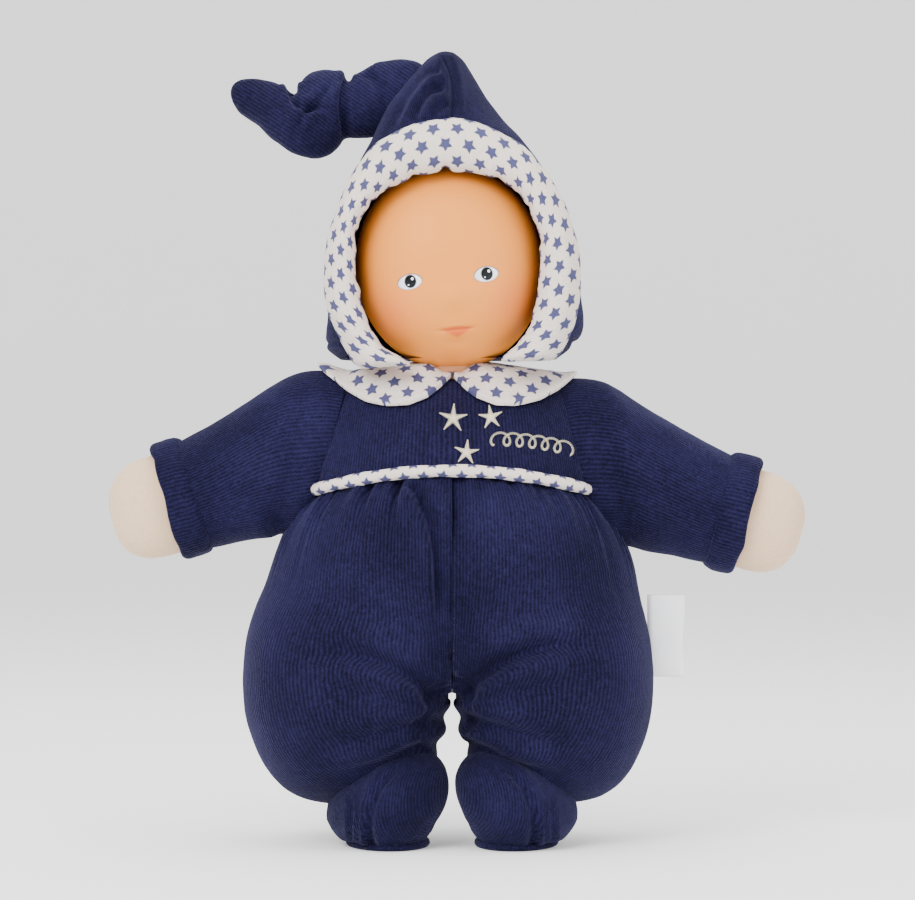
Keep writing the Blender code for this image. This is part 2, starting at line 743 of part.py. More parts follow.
def make_foot(side, parent):
    bm = egg(Vector((0, 0, FOOT_AT.z)), FOOT_RADII)
    bmesh.ops.transform(bm, matrix=foot_place(side), verts=bm.verts[:])
    shoe = piece(f"bootie_{side}", bm, "navy_velour", parent)
    leg_room = cutter(f"leg_above_foot_{side}", leg_form(side, GAP))
    floor_room = cutter(
        f"below_bootie_{side}", block((-REACH, -REACH, -REACH), (REACH, REACH, SOLE_THICK + GAP))
    )
    cut(shoe, leg_room, floor_room)
    bm = bmesh.new()
    bmesh.ops.create_cone(bm, cap_ends=True, segments=SEGMENTS, radius1=1, radius2=1, depth=SOLE_THICK)
    size = Matrix.Translation((0, 0, SOLE_THICK / 2)) @ Matrix.Diagonal((*SOLE_RADII, 1, 1))
    bmesh.ops.transform(bm, matrix=foot_place(side) @ size, verts=bm.verts[:])
    piece(f"sole_{side}", bm, "navy_velour", parent)


def make_label(parent):
    half = LABEL_SIZE / 2
    piece("care_label", block(LABEL_AT - half, LABEL_AT + half), "satin_label", parent)


# ---------------------------------------------------------------- sound module


def make_case():
    """Two cups that meet on the module's middle plane, the front one with a hole for the push plate."""
    wall = CASE_WALL
    front = [
        (-CASE_HALF, PLATE_R + 2 * GAP),
        (-CASE_HALF, CASE_R - 1.5 * MM),
        (-CASE_HALF + 1.5 * MM, CASE_R),
        (-GAP / 2, CASE_R),
        (-GAP / 2, CASE_R - wall),
        (-CASE_HALF + wall, CASE_R - wall),
        (-CASE_HALF + wall, PLATE_R + 2 * GAP),
    ]
    piece("module_case_front", turned(front + front[:1], MODULE_AT, (0, 1, 0)), "case_plastic")
    back = [
        (GAP / 2, CASE_R - wall),
        (GAP / 2, CASE_R),
        (CASE_HALF - 1.5 * MM, CASE_R),
        (CASE_HALF, CASE_R - 1.5 * MM),
        (CASE_HALF, 0),
        (CASE_HALF - wall, 0),
        (CASE_HALF - wall, CASE_R - wall),
    ]
    shell = piece("module_case_back", turned(back + back[:1], MODULE_AT, (0, 1, 0)), "case_plastic")
    door_at = MODULE_AT + Vector((0, 0, -9 * MM))
    low = door_at - DOOR_HALF + Vector((0, 8 * MM, 0))
    high = door_at + DOOR_HALF + Vector((0, 12 * MM, 0))
    cut(shell, cutter("door_hole", block(low, high)))
    ring_r = 4.5 * MM
    for i in range(5):
        turn = 2 * math.pi * i / 5
        at = MODULE_AT + Vector((ring_r * math.cos(turn), 0, SPEAKER_UP + ring_r * math.sin(turn)))
        cut(shell, cutter(f"sound_hole_{i + 1}", rod(at, (0, 1, 0), 1.1 * MM, 7 * MM, 12 * MM, 10)))
    inset = Vector((GAP, 0, GAP))
    low = door_at - DOOR_HALF + inset + Vector((0, CASE_HALF - wall, 0))
    high = door_at + DOOR_HALF - inset + Vector((0, CASE_HALF, 0))
    door = piece("battery_door", block(low, high), "case_plastic")
    screw_at = door_at + Vector((0, CASE_HALF, 0))
    cut(door, cutter("screw_hole", rod(screw_at, (0, 1, 0), 1.6 * MM, -3 * MM, 2 * MM, 12)))
    head_r, shank_r = 1.3 * MM, 0.8 * MM
    screw = [
        (-1.6 * MM, 0),
        (-1.6 * MM, shank_r),
        (-0.9 * MM, shank_r),
        (-0.9 * MM, head_r),
        (-0.1 * MM, head_r),
        (-0.1 * MM, 0),
    ]
    piece("door_screw", turned(screw, screw_at, (0, 1, 0)), "steel")


def make_plate(parent):
    inner = -CASE_HALF + CASE_WALL + GAP
    profile = [
        (-CASE_HALF - 2.6 * MM, 0),
        (-CASE_HALF - 2.6 * MM, PLATE_R - 2 * MM),
        (-CASE_HALF - 1.6 * MM, PLATE_R),
        (inner, PLATE_R),
        (inner, PLATE_R + 1.6 * MM),
        (inner + 1 * MM, PLATE_R + 1.6 * MM),
        (inner + 1 * MM, 3 * MM),
        (inner + 4.6 * MM, 3 * MM),
        (inner + 4.6 * MM, 0),
    ]
    piece("push_plate", turned(profile, MODULE_AT, (0, 1, 0)), "case_plastic", parent)
    turns, per_turn, radius = 3, 12, 5.5 * MM
    start = inner + 1 * MM + 0.7 * MM
    end = -0.8 * MM
    points = []
    for i in range(turns * per_turn + 1):
        turn = 2 * math.pi * i / per_turn
        along = start + (end - start) * i / (turns * per_turn)
        points.append(MODULE_AT + Vector((radius * math.cos(turn), along, radius * math.sin(turn))))
    wire("plate_spring", points, 0.35 * MM, "steel")


def make_electronics():
    board = rod(MODULE_AT, (0, 1, 0), CASE_R - CASE_WALL - GAP, GAP, 1.5 * MM)
    piece("circuit_board", board, "board")
    speaker_at = MODULE_AT + Vector((0, 0, SPEAKER_UP))
    cone = [
        (2.2 * MM, 0),
        (2.2 * MM, 5 * MM),
        (4.2 * MM, 5.5 * MM),
        (6.4 * MM, SPEAKER_R),
        (7.6 * MM, SPEAKER_R),
        (7.6 * MM, 8.6 * MM),
        (6.2 * MM, 3 * MM),
        (6.2 * MM, 0),
    ]
    piece("speaker", turned(cone, speaker_at, (0, 1, 0)), "speaker_cone")
    for number, (x, z) in enumerate(CELLS, 1):
        at = MODULE_AT + Vector((x * MM, 0, z * MM))
        cell = rod(at, (0, 1, 0), CELL_R, 2 * MM, 2 * MM + CELL_THICK, 20)
        piece(f"button_cell_{number}", cell, "steel")
    for number, finish in ((1, "wire_red"), (2, "wire_black")):
        sign = 1 if number == 1 else -1
        points = []
        for i in range(7):
            share = i / 6
            x = sign * (6.3 + 4.5 * share)
            y = 2.1 + 1.8 * math.sin(math.pi * share)
            z = 3.2 - 2 * share
            points.append(MODULE_AT + Vector((x, y, z)) * MM)
        wire(f"speaker_lead_{number}", points, 0.35 * MM, finish)


def make_pouch():
    outer, inner = CASE_R + 2 * GAP + POUCH_WALL, CASE_R + 2 * GAP
    back, floor_at = CASE_HALF + 1.5 * MM, -CASE_HALF - 4 * MM
    profile = [
        (floor_at - POUCH_WALL, 0),
        (floor_at - POUCH_WALL, outer),
        (back, outer),
        (back, inner),
        (floor_at, inner),
        (floor_at, 0),
    ]
    piece("module_pouch", turned(profile, MODULE_AT, (0, 1, 0)), "cloth_skin")


def back_patch(name, half_width, z_range, inner, outer, finish, parent=None):
    """A patch that follows the back between two distances off it."""
    patch = piece(name, torso_form(outer), finish, parent)
    low = (-half_width, 10 * MM, z_range[0])
    high = (half_width, REACH, z_range[1])
    clip(patch, cutter(f"{name}_region", block(low, high)))
    return cut(patch, cutter(f"{name}_inside", torso_form(inner)))


def make_closure(parent):
    strip = (FLAP_Z[0] + 1 * MM, SLIT_Z[0] - 1 * MM)
    width = FLAP_HALF_WIDTH - 2 * MM
    back_patch("loop_strip", width, strip, GAP, 0.9 * MM, "hook_and_loop")
    back_patch("hook_strip", width, strip, 1.3 * MM, 1.9 * MM, "hook_and_loop", parent)
    back_patch("back_flap", FLAP_HALF_WIDTH, FLAP_Z, 2.3 * MM, 3.5 * MM, "navy_velour", parent)


# ---------------------------------------------------------------- assembly


def main():
    start_scene()
    tools = make_cutters()
    neck_joint = empty("neck_joint", NECK_AT)
    head_joint = empty("head_joint", NECK_AT, neck_joint)
    tail_joint = empty("tail_joint", TAIL_AT, head_joint)
    flap_at = (0, torso_depth(0, FLAP_Z[1], 2.9 * MM), FLAP_Z[1])
    flap_joint = empty("flap_joint", flap_at)
    plate_slide = empty("plate_slide", MODULE_AT)
    make_head(head_joint, tools)
    make_hood(head_joint)
    make_brim(head_joint)
    make_tail(tail_joint)
    make_neck(neck_joint)
    make_torso_shells(tools)
    make_piping()
    make_collar(tools)
    make_torso_stuffing(tools)
    make_embroidery()
    for side in SIDES:
        make_arm(side, empty(f"shoulder_joint_{side}", shoulder_of(side)))
        hip = Vector((HIP.x * SIDES[side], HIP.y, HIP.z))
        hip_joint = empty(f"hip_joint_{side}", hip)
        make_leg(side, hip_joint)
        if side == "left":
            make_label(hip_joint)
    make_case()
    make_plate(plate_slide)
    make_electronics()
    make_pouch()
    make_closure(flap_joint)


main()
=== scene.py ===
"""The cloth baby doll's visible surfaces, finishes and studio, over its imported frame.

Sizes inside are in millimetres and become metres when a mesh is made.
The doll faces -Y, and its own left is +X.
"""

import math
from contextlib import contextmanager

import bmesh
import bpy
import numpy as np
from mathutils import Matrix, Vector, noise
from mathutils.bvhtree import BVHTree


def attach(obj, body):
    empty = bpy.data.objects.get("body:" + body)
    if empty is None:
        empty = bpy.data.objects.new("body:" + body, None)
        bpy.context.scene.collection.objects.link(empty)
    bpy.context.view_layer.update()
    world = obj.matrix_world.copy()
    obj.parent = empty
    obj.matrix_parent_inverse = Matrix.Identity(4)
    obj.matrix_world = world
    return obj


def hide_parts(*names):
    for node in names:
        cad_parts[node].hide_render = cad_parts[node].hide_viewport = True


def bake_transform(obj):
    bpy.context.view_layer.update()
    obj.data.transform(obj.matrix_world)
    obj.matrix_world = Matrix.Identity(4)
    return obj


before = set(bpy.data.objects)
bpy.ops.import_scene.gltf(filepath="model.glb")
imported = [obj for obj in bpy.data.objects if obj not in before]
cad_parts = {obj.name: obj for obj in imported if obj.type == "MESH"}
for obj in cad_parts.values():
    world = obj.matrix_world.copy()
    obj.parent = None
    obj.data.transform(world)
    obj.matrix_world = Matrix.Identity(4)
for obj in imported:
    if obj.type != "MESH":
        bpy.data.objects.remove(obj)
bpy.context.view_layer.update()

MM = 0.001
SIDES = {"left": 1, "right": -1}
SCENE = bpy.context.scene

# Torso: (height, half width, half depth)
TORSO = (
    (54, 8, 22),
    (62, 14, 28),
    (74, 34, 35),
    (84, 52, 39),
    (94, 63, 41.5),
    (104, 65.5, 42),
    (113, 61.5, 41),
    (121, 56, 39),
    (131, 50.5, 36),
    (143, 48, 31.5),
    (151, 46.5, 26.5),
    (157, 44.5, 20.5),
    (161.5, 41, 14.5),
    (163.5, 36, 10),
    (164.5, 20, 5),
)
TORSO_POWER = 2.3
WAIST_Z, WAIST_DROP, WAIST_HALF = 131.5, 8, 52
HIP = (40.3, 0, 62)
LEG_R, LEG_INNER = 42, 36.9
LEG_OUTER = {"left": 26.6, "right": 29.8}
SLIT_HALF, SLIT_LOW, SLIT_HIGH = 18.5, 100, 120

# Hood: (height, left edge, right edge, half depth, centre y)
HOOD = (
    (171, -40, 37, 26, 12),
    (175, -44.6, 42, 32, 10),
    (180, -44.8, 46, 35, 9),
    (186, -44.2, 46.8, 37, 8),
    (195, -44.4, 45.8, 38, 7.5),
    (206, -44.6, 45.2, 38, 7),
    (219, -42.4, 42, 37, 6.5),
    (228, -39, 38.8, 35, 6),
    (239, -33.8, 32.2, 31, 5),
    (248, -28.8, 25, 27, 4.5),
    (255, -25.4, 18.2, 23, 4),
    (262, -21.4, 13, 19, 3.5),
    (268, -16.8, 9.4, 14, 3),
    (273, -12, 6.6, 10, 3),
    (277, -8, 3.8, 6.5, 3),
    (279.3, -5, 0.6, 3, 3),
    (279.9, -3, -1.8, 0.8, 3),
)
HOOD_POWER = 2.1

# Tail of the hood: (x, y, z, half height, half depth) from inside the peak to the knot
TAIL_NECK = (
    (-6, 6, 265, 6, 6),
    (-13, 6, 265.5, 11.5, 9.5),
    (-21, 6, 264.2, 12.8, 10.5),
    (-28, 5.5, 261.8, 12.2, 10),
    (-34, 5, 260.3, 11.2, 9.2),
    (-42, 4, 259, 9.5, 8),
)
TAIL_END = (
    (-44, 11, 262, 6.5, 6.5),
    (-46, 2, 251.5, 8.5, 8),
    (-51, -5, 250.8, 9.2, 8),
    (-57, -4.5, 254.6, 9.2, 8),
    (-63, -1, 259.2, 8.7, 7.8),
    (-69, 2, 262.4, 7.6, 7.2),
    (-74, 3, 264.2, 6.4, 6.2),
    (-77.2, 3, 264.8, 4.2, 4.2),
    (-78.6, 3, 264.9, 1.6, 1.6),
)
KNOT_AT, KNOT_RING, KNOT_TUBE = (-46.5, 4, 258.6), 7.6, 7.2

# Brim: inner and outer edge (x, z) from the doll's right cheek over the top to its left cheek
BRIM = (
    (-12.5, 168, -33.5, 166.8),
    (-21, 172.8, -38.2, 175.5),
    (-26, 177.5, -41.6, 183),
    (-30.3, 186.3, -44, 190),
    (-32.8, 196.5, -44.6, 200),
    (-33.7, 209.2, -43.2, 213),
    (-32.2, 218, -39.6, 224),
    (-27, 224.6, -34.4, 235.5),
    (-21.5, 229.4, -26.8, 245),
    (-15.2, 233, -17, 250.6),
    (-7.5, 234.9, -8.2, 253.3),
    (0.3, 235.2, 0.2, 254.1),
    (8.5, 234.2, 9, 252.6),
    (16.4, 231.8, 18.4, 248.3),
    (22.6, 228, 27.2, 242.4),
    (26.6, 221, 34.6, 233),
    (29.8, 213, 40, 222.5),
    (30.6, 204, 43.6, 210.5),
    (29.9, 194.5, 45, 198),
    (28, 184.5, 43.6, 186),
    (23.5, 176.5, 40.4, 177),
    (15.5, 169, 36.2, 169.8),
)

# Sleeves: (top x, top z, bottom x, bottom z, half depth) from the armhole to the hem, then the cuff and hand
SLEEVE = {
    "right": (
        (36, 165, 50, 112, 16.5),
        (43, 166.6, 59.5, 108.8, 18.5),
        (54, 165.6, 66, 107.6, 20.3),
        (64.4, 160.8, 71, 106.8, 20),
        (74.8, 154, 76, 106, 18.5),
        (86, 147, 80.8, 105, 17.6),
        (96.4, 141.4, 85.4, 104.2, 17.2),
    ),
    "left": (
        (34, 162, 52, 106, 16.5),
        (42.5, 164, 62.5, 104.4, 18.5),
        (53.4, 162.8, 68.5, 102.8, 20.3),
        (62, 157.6, 73, 102, 20),
        (73, 151, 78, 101.2, 18.5),
        (86.4, 143, 84, 99.9, 17.6),
        (99.6, 136.2, 89.4, 98.8, 17.2),
    ),
}
CUFF_WIDE = 9.6
HAND_REACH = {"right": 21.5, "left": 21}

# Head: an egg, turned a little in its own plane
HEAD_AT, HEAD_R, HEAD_ROLL = (-0.9, 0, 203.2), (33.2, 33, 36.6), math.radians(5.5)
EYES = ((-14.2, -5.4), (12.3, -5.3))

# Cloth simulation: the romper starts smaller by SLACK and is blown up, no point by more than PUFF_CAP
SLACK, PUFF_PRESSURE, PUFF_CAP, PUFF_FRAMES = 2.0, 1500, 5.5, 20

# Feet: centre, half sizes and turn
FOOT_AT, FOOT_R, FOOT_TURN = (22.6, -8, 16), (20.6, 28.5, 18.5), math.radians(6)
SOLE_HALF = (14.0, 21.5)

# Side label: where it leaves the seam, how far it stands out, and its lower and upper edge
LABEL_X, LABEL_OUT, LABEL_Z = 69, 12.8, (58.5, 87.5)

# Brim: middle depth and half thickness. Collar: the angle of its neck edge, how far that edge stands up
BRIM_Y, BRIM_THICK = -22.5, 7.0
COLLAR_RISE, COLLAR_STAND = 73.5, 3.2
ARM_POWER = 2.15


# ---------------------------------------------------------------- node graphs


class Graph:
    """A material and short ways to add nodes to it."""

    def __init__(self, name):
        self.material = bpy.data.materials.new(name)
        self.material.use_nodes = True
        self.tree = self.material.node_tree
        self.shader = self.tree.nodes["Principled BSDF"]

    def node(self, kind, **values):
        made = self.tree.nodes.new(kind)
        for key, value in values.items():
            setattr(made, key, value)
        return made

    def put(self, socket, value):
        if isinstance(value, bpy.types.NodeSocket):
            self.tree.links.new(value, socket)
        elif value is not None:
            socket.default_value = value

    def calc(self, operation, a, b=None, c=None, clamp=False):
        made = self.node("ShaderNodeMath", operation=operation, use_clamp=clamp)
        for socket, value in zip(made.inputs, (a, b, c)):
            self.put(socket, value)
        return made.outputs[0]

    def step(self, value, low, high, to_low=0.0, to_high=1.0):
        made = self.node("ShaderNodeMapRange", interpolation_type="SMOOTHSTEP")
        for socket, given in zip(made.inputs, (value, low, high, to_low, to_high)):
            self.put(socket, given)
        return made.outputs[0]

    def noise(self, scale, detail=2.0, where=None, roughness=0.5):
        made = self.node("ShaderNodeTexNoise")
        made.inputs["Scale"].default_value = scale
        made.inputs["Detail"].default_value = detail
        made.inputs["Roughness"].default_value = roughness
        self.put(made.inputs["Vector"], where or self.place())
        return made.outputs[0]

    def place(self):
        return self.node("ShaderNodeTexCoord").outputs["Object"]

    def uv(self):
        parts = self.node("ShaderNodeSeparateXYZ")
        self.put(parts.inputs[0], self.node("ShaderNodeTexCoord").outputs["UV"])
        return parts.outputs[0], parts.outputs[1]

    def mix(self, share, a, b):
        made = self.node("ShaderNodeMix", data_type="RGBA")
        self.put(made.inputs[0], share)
        self.put(made.inputs[6], a if isinstance(a, bpy.types.NodeSocket) else (*a, 1))
        self.put(made.inputs[7], b if isinstance(b, bpy.types.NodeSocket) else (*b, 1))
        return made.outputs[2]

    def bump(self, height, distance, strength=1.0, under=None):
        made = self.node("ShaderNodeBump")
        made.inputs["Strength"].default_value = strength
        made.inputs["Distance"].default_value = distance
        self.put(made.inputs["Height"], height)
        self.put(made.inputs["Normal"], under)
        return made.outputs[0]

    def finish(self, colour, roughness, normal=None, sheen=None, specular=0.5, metallic=0.0):
        self.put(self.shader.inputs["Base Color"], colour)
        self.put(self.shader.inputs["Roughness"], roughness)
        self.put(self.shader.inputs["Normal"], normal)
        self.shader.inputs["Specular IOR Level"].default_value = specular
        self.shader.inputs["Metallic"].default_value = metallic
        if sheen:
            weight, rough, tint = sheen
            self.shader.inputs["Sheen Weight"].default_value = weight
            self.shader.inputs["Sheen Roughness"].default_value = rough
            self.shader.inputs["Sheen Tint"].default_value = (*tint, 1)
        return self.material


def velour(name, rib=1.15, dark=(0.0028, 0.0025, 0.0110), light=(0.0180, 0.0160, 0.060)):
    """Ribbed navy velour. The ribs run along v."""
    g = Graph(name)
    u, _ = g.uv()
    wander = g.noise(260, 2)
    straight = g.calc("MULTIPLY", u, 2 * math.pi / (rib * MM))
    phase = g.calc("ADD", straight, g.calc("MULTIPLY", wander, 3.4))
    ribs = g.calc("MULTIPLY_ADD", g.calc("SINE", phase), 0.5, 0.5)
    pile = g.noise(1500, 3, roughness=0.65)
    tufts = g.noise(620, 2, roughness=0.6)
    broad = g.noise(28, 3)
    share = g.calc("ADD", g.calc("MULTIPLY", ribs, 0.17), g.calc("MULTIPLY", pile, 0.5))
    share = g.calc("ADD", share, g.calc("MULTIPLY", tufts, 0.4))
    share = g.calc("ADD", share, g.calc("MULTIPLY", g.calc("SUBTRACT", broad, 0.5), 0.5))
    colour = g.mix(g.step(share, 0.30, 0.92), dark, light)
    nap = g.calc("MULTIPLY", g.calc("ADD", pile, tufts), 0.8)
    height = g.calc("ADD", g.calc("MULTIPLY", ribs, 0.36), nap)
    rough = g.step(tufts, 0.3, 0.7, 0.82, 0.96)
    return g.finish(colour, rough, g.bump(height, 0.0004), (0.2, 0.3, (0.28, 0.27, 0.55)), 0.06)


def star_cloth(name, along=8.2, across=5.8, radius=2.75, waist=0.56):
    """Cream velour printed with staggered rows of small blue stars."""
    g = Graph(name)
    u, v = g.uv()
    row_at = g.calc("DIVIDE", v, across * MM)
    row = g.calc("FLOOR", row_at)
    stagger = g.calc("MULTIPLY", g.calc("MODULO", row, 2), 0.5)
    column_at = g.calc("ADD", g.calc("DIVIDE", u, along * MM), stagger)
    column = g.calc("FLOOR", column_at)
    cell = g.node("ShaderNodeCombineXYZ")
    g.put(cell.inputs[0], column)
    g.put(cell.inputs[1], row)
    chance = g.node("ShaderNodeTexWhiteNoise", noise_dimensions="3D")
    g.put(chance.inputs["Vector"], cell.outputs[0])
    x = g.calc("MULTIPLY", g.calc("SUBTRACT", g.calc("SUBTRACT", column_at, column), 0.5), along)
    y = g.calc("MULTIPLY", g.calc("SUBTRACT", g.calc("SUBTRACT", row_at, row), 0.5), across)
    reach = g.calc("SQRT", g.calc("ADD", g.calc("MULTIPLY", x, x), g.calc("MULTIPLY", y, y)))
    lean = g.calc("MULTIPLY", g.calc("SUBTRACT", chance.outputs["Value"], 0.5), 0.6)
    fifth = math.pi / 5
    turn = g.calc("ADD", g.calc("ADD", g.calc("ARCTAN2", x, y), lean), 8 * math.pi)
    fold = g.calc("PINGPONG", turn, fifth)
    rest = g.calc("SINE", g.calc("SUBTRACT", fifth, fold))
    low = g.calc("ADD", g.calc("SINE", fold), g.calc("MULTIPLY", rest, waist))
    edge = g.calc("DIVIDE", radius * waist * math.sin(fifth), low)
    fuzz = g.calc("MULTIPLY", g.calc("SUBTRACT", g.noise(1900, 3, roughness=0.7), 0.5), 0.95)
    inside = g.calc("ADD", g.calc("SUBTRACT", edge, reach), fuzz)
    mask = g.step(inside, -0.16, 0.3)
    pile = g.noise(1300, 3, roughness=0.65)
    cream = g.mix(pile, (0.52, 0.45, 0.41), (0.78, 0.71, 0.66))
    ink = g.mix(pile, (0.008, 0.012, 0.075), (0.026, 0.034, 0.145))
    colour = g.mix(g.calc("MULTIPLY", mask, 0.93), cream, ink)
    height = g.calc("SUBTRACT", g.calc("ADD", pile, g.noise(420, 2)), g.calc("MULTIPLY", mask, 0.15))
    return g.finish(colour, 0.9, g.bump(height, 0.0003), (0.06, 0.4, (1, 0.96, 0.94)), 0.08)


def knit(name, dark, light, stitch=0.62):
    """Fine smooth knit."""
    g = Graph(name)
    u, v = g.uv()
    wale = g.calc("SINE", g.calc("MULTIPLY", u, 2 * math.pi / (stitch * MM)))
    course = g.calc("SINE", g.calc("MULTIPLY", v, 2 * math.pi / (stitch * 1.3 * MM)))
    weave = g.calc("MULTIPLY_ADD", g.calc("ADD", wale, g.calc("MULTIPLY", course, 0.5)), 0.25, 0.5)
    mottle = g.noise(700, 3)
    share = g.calc("ADD", g.calc("MULTIPLY", weave, 0.4), g.calc("MULTIPLY", mottle, 0.6))
    height = g.calc("ADD", weave, g.calc("MULTIPLY", mottle, 0.6))
    sheen = (0.2, 0.5, (1, 0.9, 0.85))
    return g.finish(g.mix(share, dark, light), 0.85, g.bump(height, 0.00008), sheen, 0.2)


def vinyl(name):
    """Matt skin-toned vinyl, pinker where the face's colour layer says."""
    g = Graph(name)
    layer = g.node("ShaderNodeVertexColor", layer_name="blush").outputs["Color"]
    grain = g.noise(900, 2)
    broad = g.noise(35, 2)
    colour = g.mix(g.calc("MULTIPLY", broad, 0.16), layer, (0.74, 0.27, 0.045))
    rough = g.step(grain, 0.3, 0.7, 0.42, 0.5)
    made = g.finish(colour, rough, g.bump(grain, 0.00003), specular=0.15)
    g.shader.inputs["Subsurface Weight"].default_value = 0.08
    g.shader.inputs["Subsurface Radius"].default_value = (0.004, 0.0015, 0.0008)
    return made


def eye_print(name):
    """A printed eye; u and v are millimetres from the middle of the iris, divided by 10, about 0.5."""
    g = Graph(name)
    u, v = g.uv()
    x = g.calc("MULTIPLY", g.calc("SUBTRACT", u, 0.5), 10.0)
    y = g.calc("MULTIPLY", g.calc("SUBTRACT", v, 0.5), 10.0)

    def spot(at_x, at_y, half_x, half_y, soft=0.12):
        a = g.calc("DIVIDE", g.calc("SUBTRACT", x, at_x), half_x)
        b = g.calc("DIVIDE", g.calc("SUBTRACT", y, at_y), half_y)
        far = g.calc("SQRT", g.calc("ADD", g.calc("MULTIPLY", a, a), g.calc("MULTIPLY", b, b)))
        return g.step(far, 1 - soft, 1 + soft, 1.0, 0.0)

    shade = g.step(g.calc("ADD", x, g.calc("MULTIPLY", y, 0.4)), -3.2, 0.6, 1.0, 0.0)
    white = g.mix(g.calc("MULTIPLY", shade, 0.5), (0.93, 0.93, 0.95), (0.52, 0.62, 0.84))
    iris = g.mix(spot(0.1, -0.5, 1.5, 1.4, 0.5), (0.003, 0.004, 0.005), (0.012, 0.015, 0.017))
    pupil = g.mix(spot(0, 0.1, 0.95, 1.05, 0.25), iris, (0.008, 0.009, 0.01))
    eye = g.mix(spot(0, 0, 2.1, 2.35), white, pupil)
    eye = g.mix(spot(0.72, 0.85, 0.46, 0.5), eye, (0.95, 0.96, 0.98))
    eye = g.mix(spot(-0.75, -1.15, 0.26, 0.26), eye, (0.75, 0.8, 0.85))
    rim = g.node("ShaderNodeVertexColor", layer_name="rim").outputs["Color"]
    bright = g.node("ShaderNodeSeparateColor")
    g.put(bright.inputs[0], rim)
    line = g.mix(bright.outputs[1], (0.50, 0.24, 0.14), (0.20, 0.12, 0.12))
    eye = g.mix(bright.outputs[0], eye, line)
    return g.finish(eye, g.step(g.noise(900), 0.3, 0.7, 0.25, 0.34), specular=0.08)


def thread(name):
    """Metallic cream-gold embroidery thread."""
    g = Graph(name)
    twist = g.node("ShaderNodeTexWave", bands_direction="DIAGONAL")
    twist.inputs["Scale"].default_value = 900
    g.put(twist.inputs["Vector"], g.place())
    fine = g.noise(2600, 2)
    share = g.calc("MULTIPLY_ADD", twist.outputs["Fac"], 0.5, g.calc("MULTIPLY", fine, 0.5))
    colour = g.mix(share, (0.50, 0.42, 0.25), (0.90, 0.85, 0.66))
    return g.finish(colour, 0.42, g.bump(share, 0.0001), (0.3, 0.4, (1, 0.95, 0.8)))


def satin(name):
    """Smooth white label ribbon."""
    g = Graph(name)
    u, v = g.uv()
    warp = g.calc("SINE", g.calc("MULTIPLY", u, 2 * math.pi / (0.35 * MM)))
    weft = g.calc("SINE", g.calc("MULTIPLY", v, 2 * math.pi / (0.22 * MM)))
    weave = g.calc("MULTIPLY_ADD", g.calc("ADD", warp, weft), 0.25, 0.5)
    share = g.calc("MULTIPLY_ADD", weave, 0.3, g.noise(60))
    colour = g.mix(share, (0.70, 0.72, 0.78), (0.93, 0.93, 0.95))
    return g.finish(colour, g.step(g.noise(300), 0.3, 0.7, 0.38, 0.52), g.bump(weave, 0.00003))


def moulded(name, dark, light, roughness=0.42, metallic=0.0, grain=1400):
    """Moulded plastic, board or metal with a fine grain and handling marks."""
    g = Graph(name)
    fine = g.noise(grain, 3)
    marks = g.noise(90, 4, roughness=0.7)
    share = g.calc("MULTIPLY_ADD", fine, 0.4, g.calc("MULTIPLY", marks, 0.6))
    colour = g.mix(g.step(share, 0.25, 0.75), dark, light)
    rough = g.step(marks, 0.3, 0.75, roughness, roughness + 0.14)
    return g.finish(colour, rough, g.bump(fine, 0.00002), metallic=metallic)


def looped(name):
    """Hook-and-loop tape."""
    g = Graph(name)
    cells = g.node("ShaderNodeTexVoronoi")
    cells.inputs["Scale"].default_value = 1300
    g.put(cells.inputs["Vector"], g.place())
    near = cells.outputs["Distance"]
    colour = g.mix(g.step(near, 0.1, 0.7), (0.05, 0.06, 0.17), (0.012, 0.015, 0.045))
    return g.finish(colour, 0.9, g.bump(near, 0.0006), (0.2, 0.5, (0.4, 0.5, 0.8)), 0.2)


NAVY = velour("navy_velour_ribbed")
STARRED = star_cloth("star_print_velour")
PIPED = star_cloth("star_print_piping", along=6.6, across=5.2, radius=2.5)
HAND_KNIT = knit("hand_knit", (0.58, 0.385, 0.235), (0.77, 0.56, 0.385))
NECK_KNIT = knit("neck_knit", (0.50, 0.22, 0.10), (0.66, 0.33, 0.17))
POUCH_KNIT = knit("pouch_knit", (0.55, 0.50, 0.44), (0.76, 0.71, 0.64))
VINYL = vinyl("vinyl_skin_matt")
EYE = eye_print("eye_print")
THREAD = thread("gold_thread_twist")
SATIN = satin("satin_weave")
TAPE = looped("hook_and_loop_tape")


# ---------------------------------------------------------------- meshes


def spline(rows, count):
    """Points on a smooth curve through rows, evenly by row."""
    rows = np.array(rows, float)
    last = len(rows) - 1
    at = np.linspace(0, last, count)
    i = np.clip(at.astype(int), 0, last - 1)
    f = (at - i)[:, None]
    p0, p1, p2, p3 = rows[np.maximum(i - 1, 0)], rows[i], rows[i + 1], rows[np.minimum(i + 2, last)]
    square, cube = 2 * p0 - 5 * p1 + 4 * p2 - p3, 3 * p1 - p0 - 3 * p2 + p3
    return 0.5 * (2 * p1 + (p2 - p0) * f + square * f**2 + cube * f**3)


def lengths(points):
    return np.concatenate([[0], np.cumsum(np.linalg.norm(np.diff(points, axis=0), axis=1))])


def dress(obj, finish):
    obj.data.materials.clear()
    obj.data.materials.append(finish)


@contextmanager
def opened(obj):
    """The object's mesh as a bmesh, written back at the end."""
    bm = bmesh.new()
    bm.from_mesh(obj.data)
    yield bm
    bm.to_mesh(obj.data)
    bm.free()


def grid_uv(across, along):
    """UVs of a grid in millimetres, from one value for each column and one for each row."""
    return np.stack(np.broadcast_arrays(across[None], along[:, None]), -1)


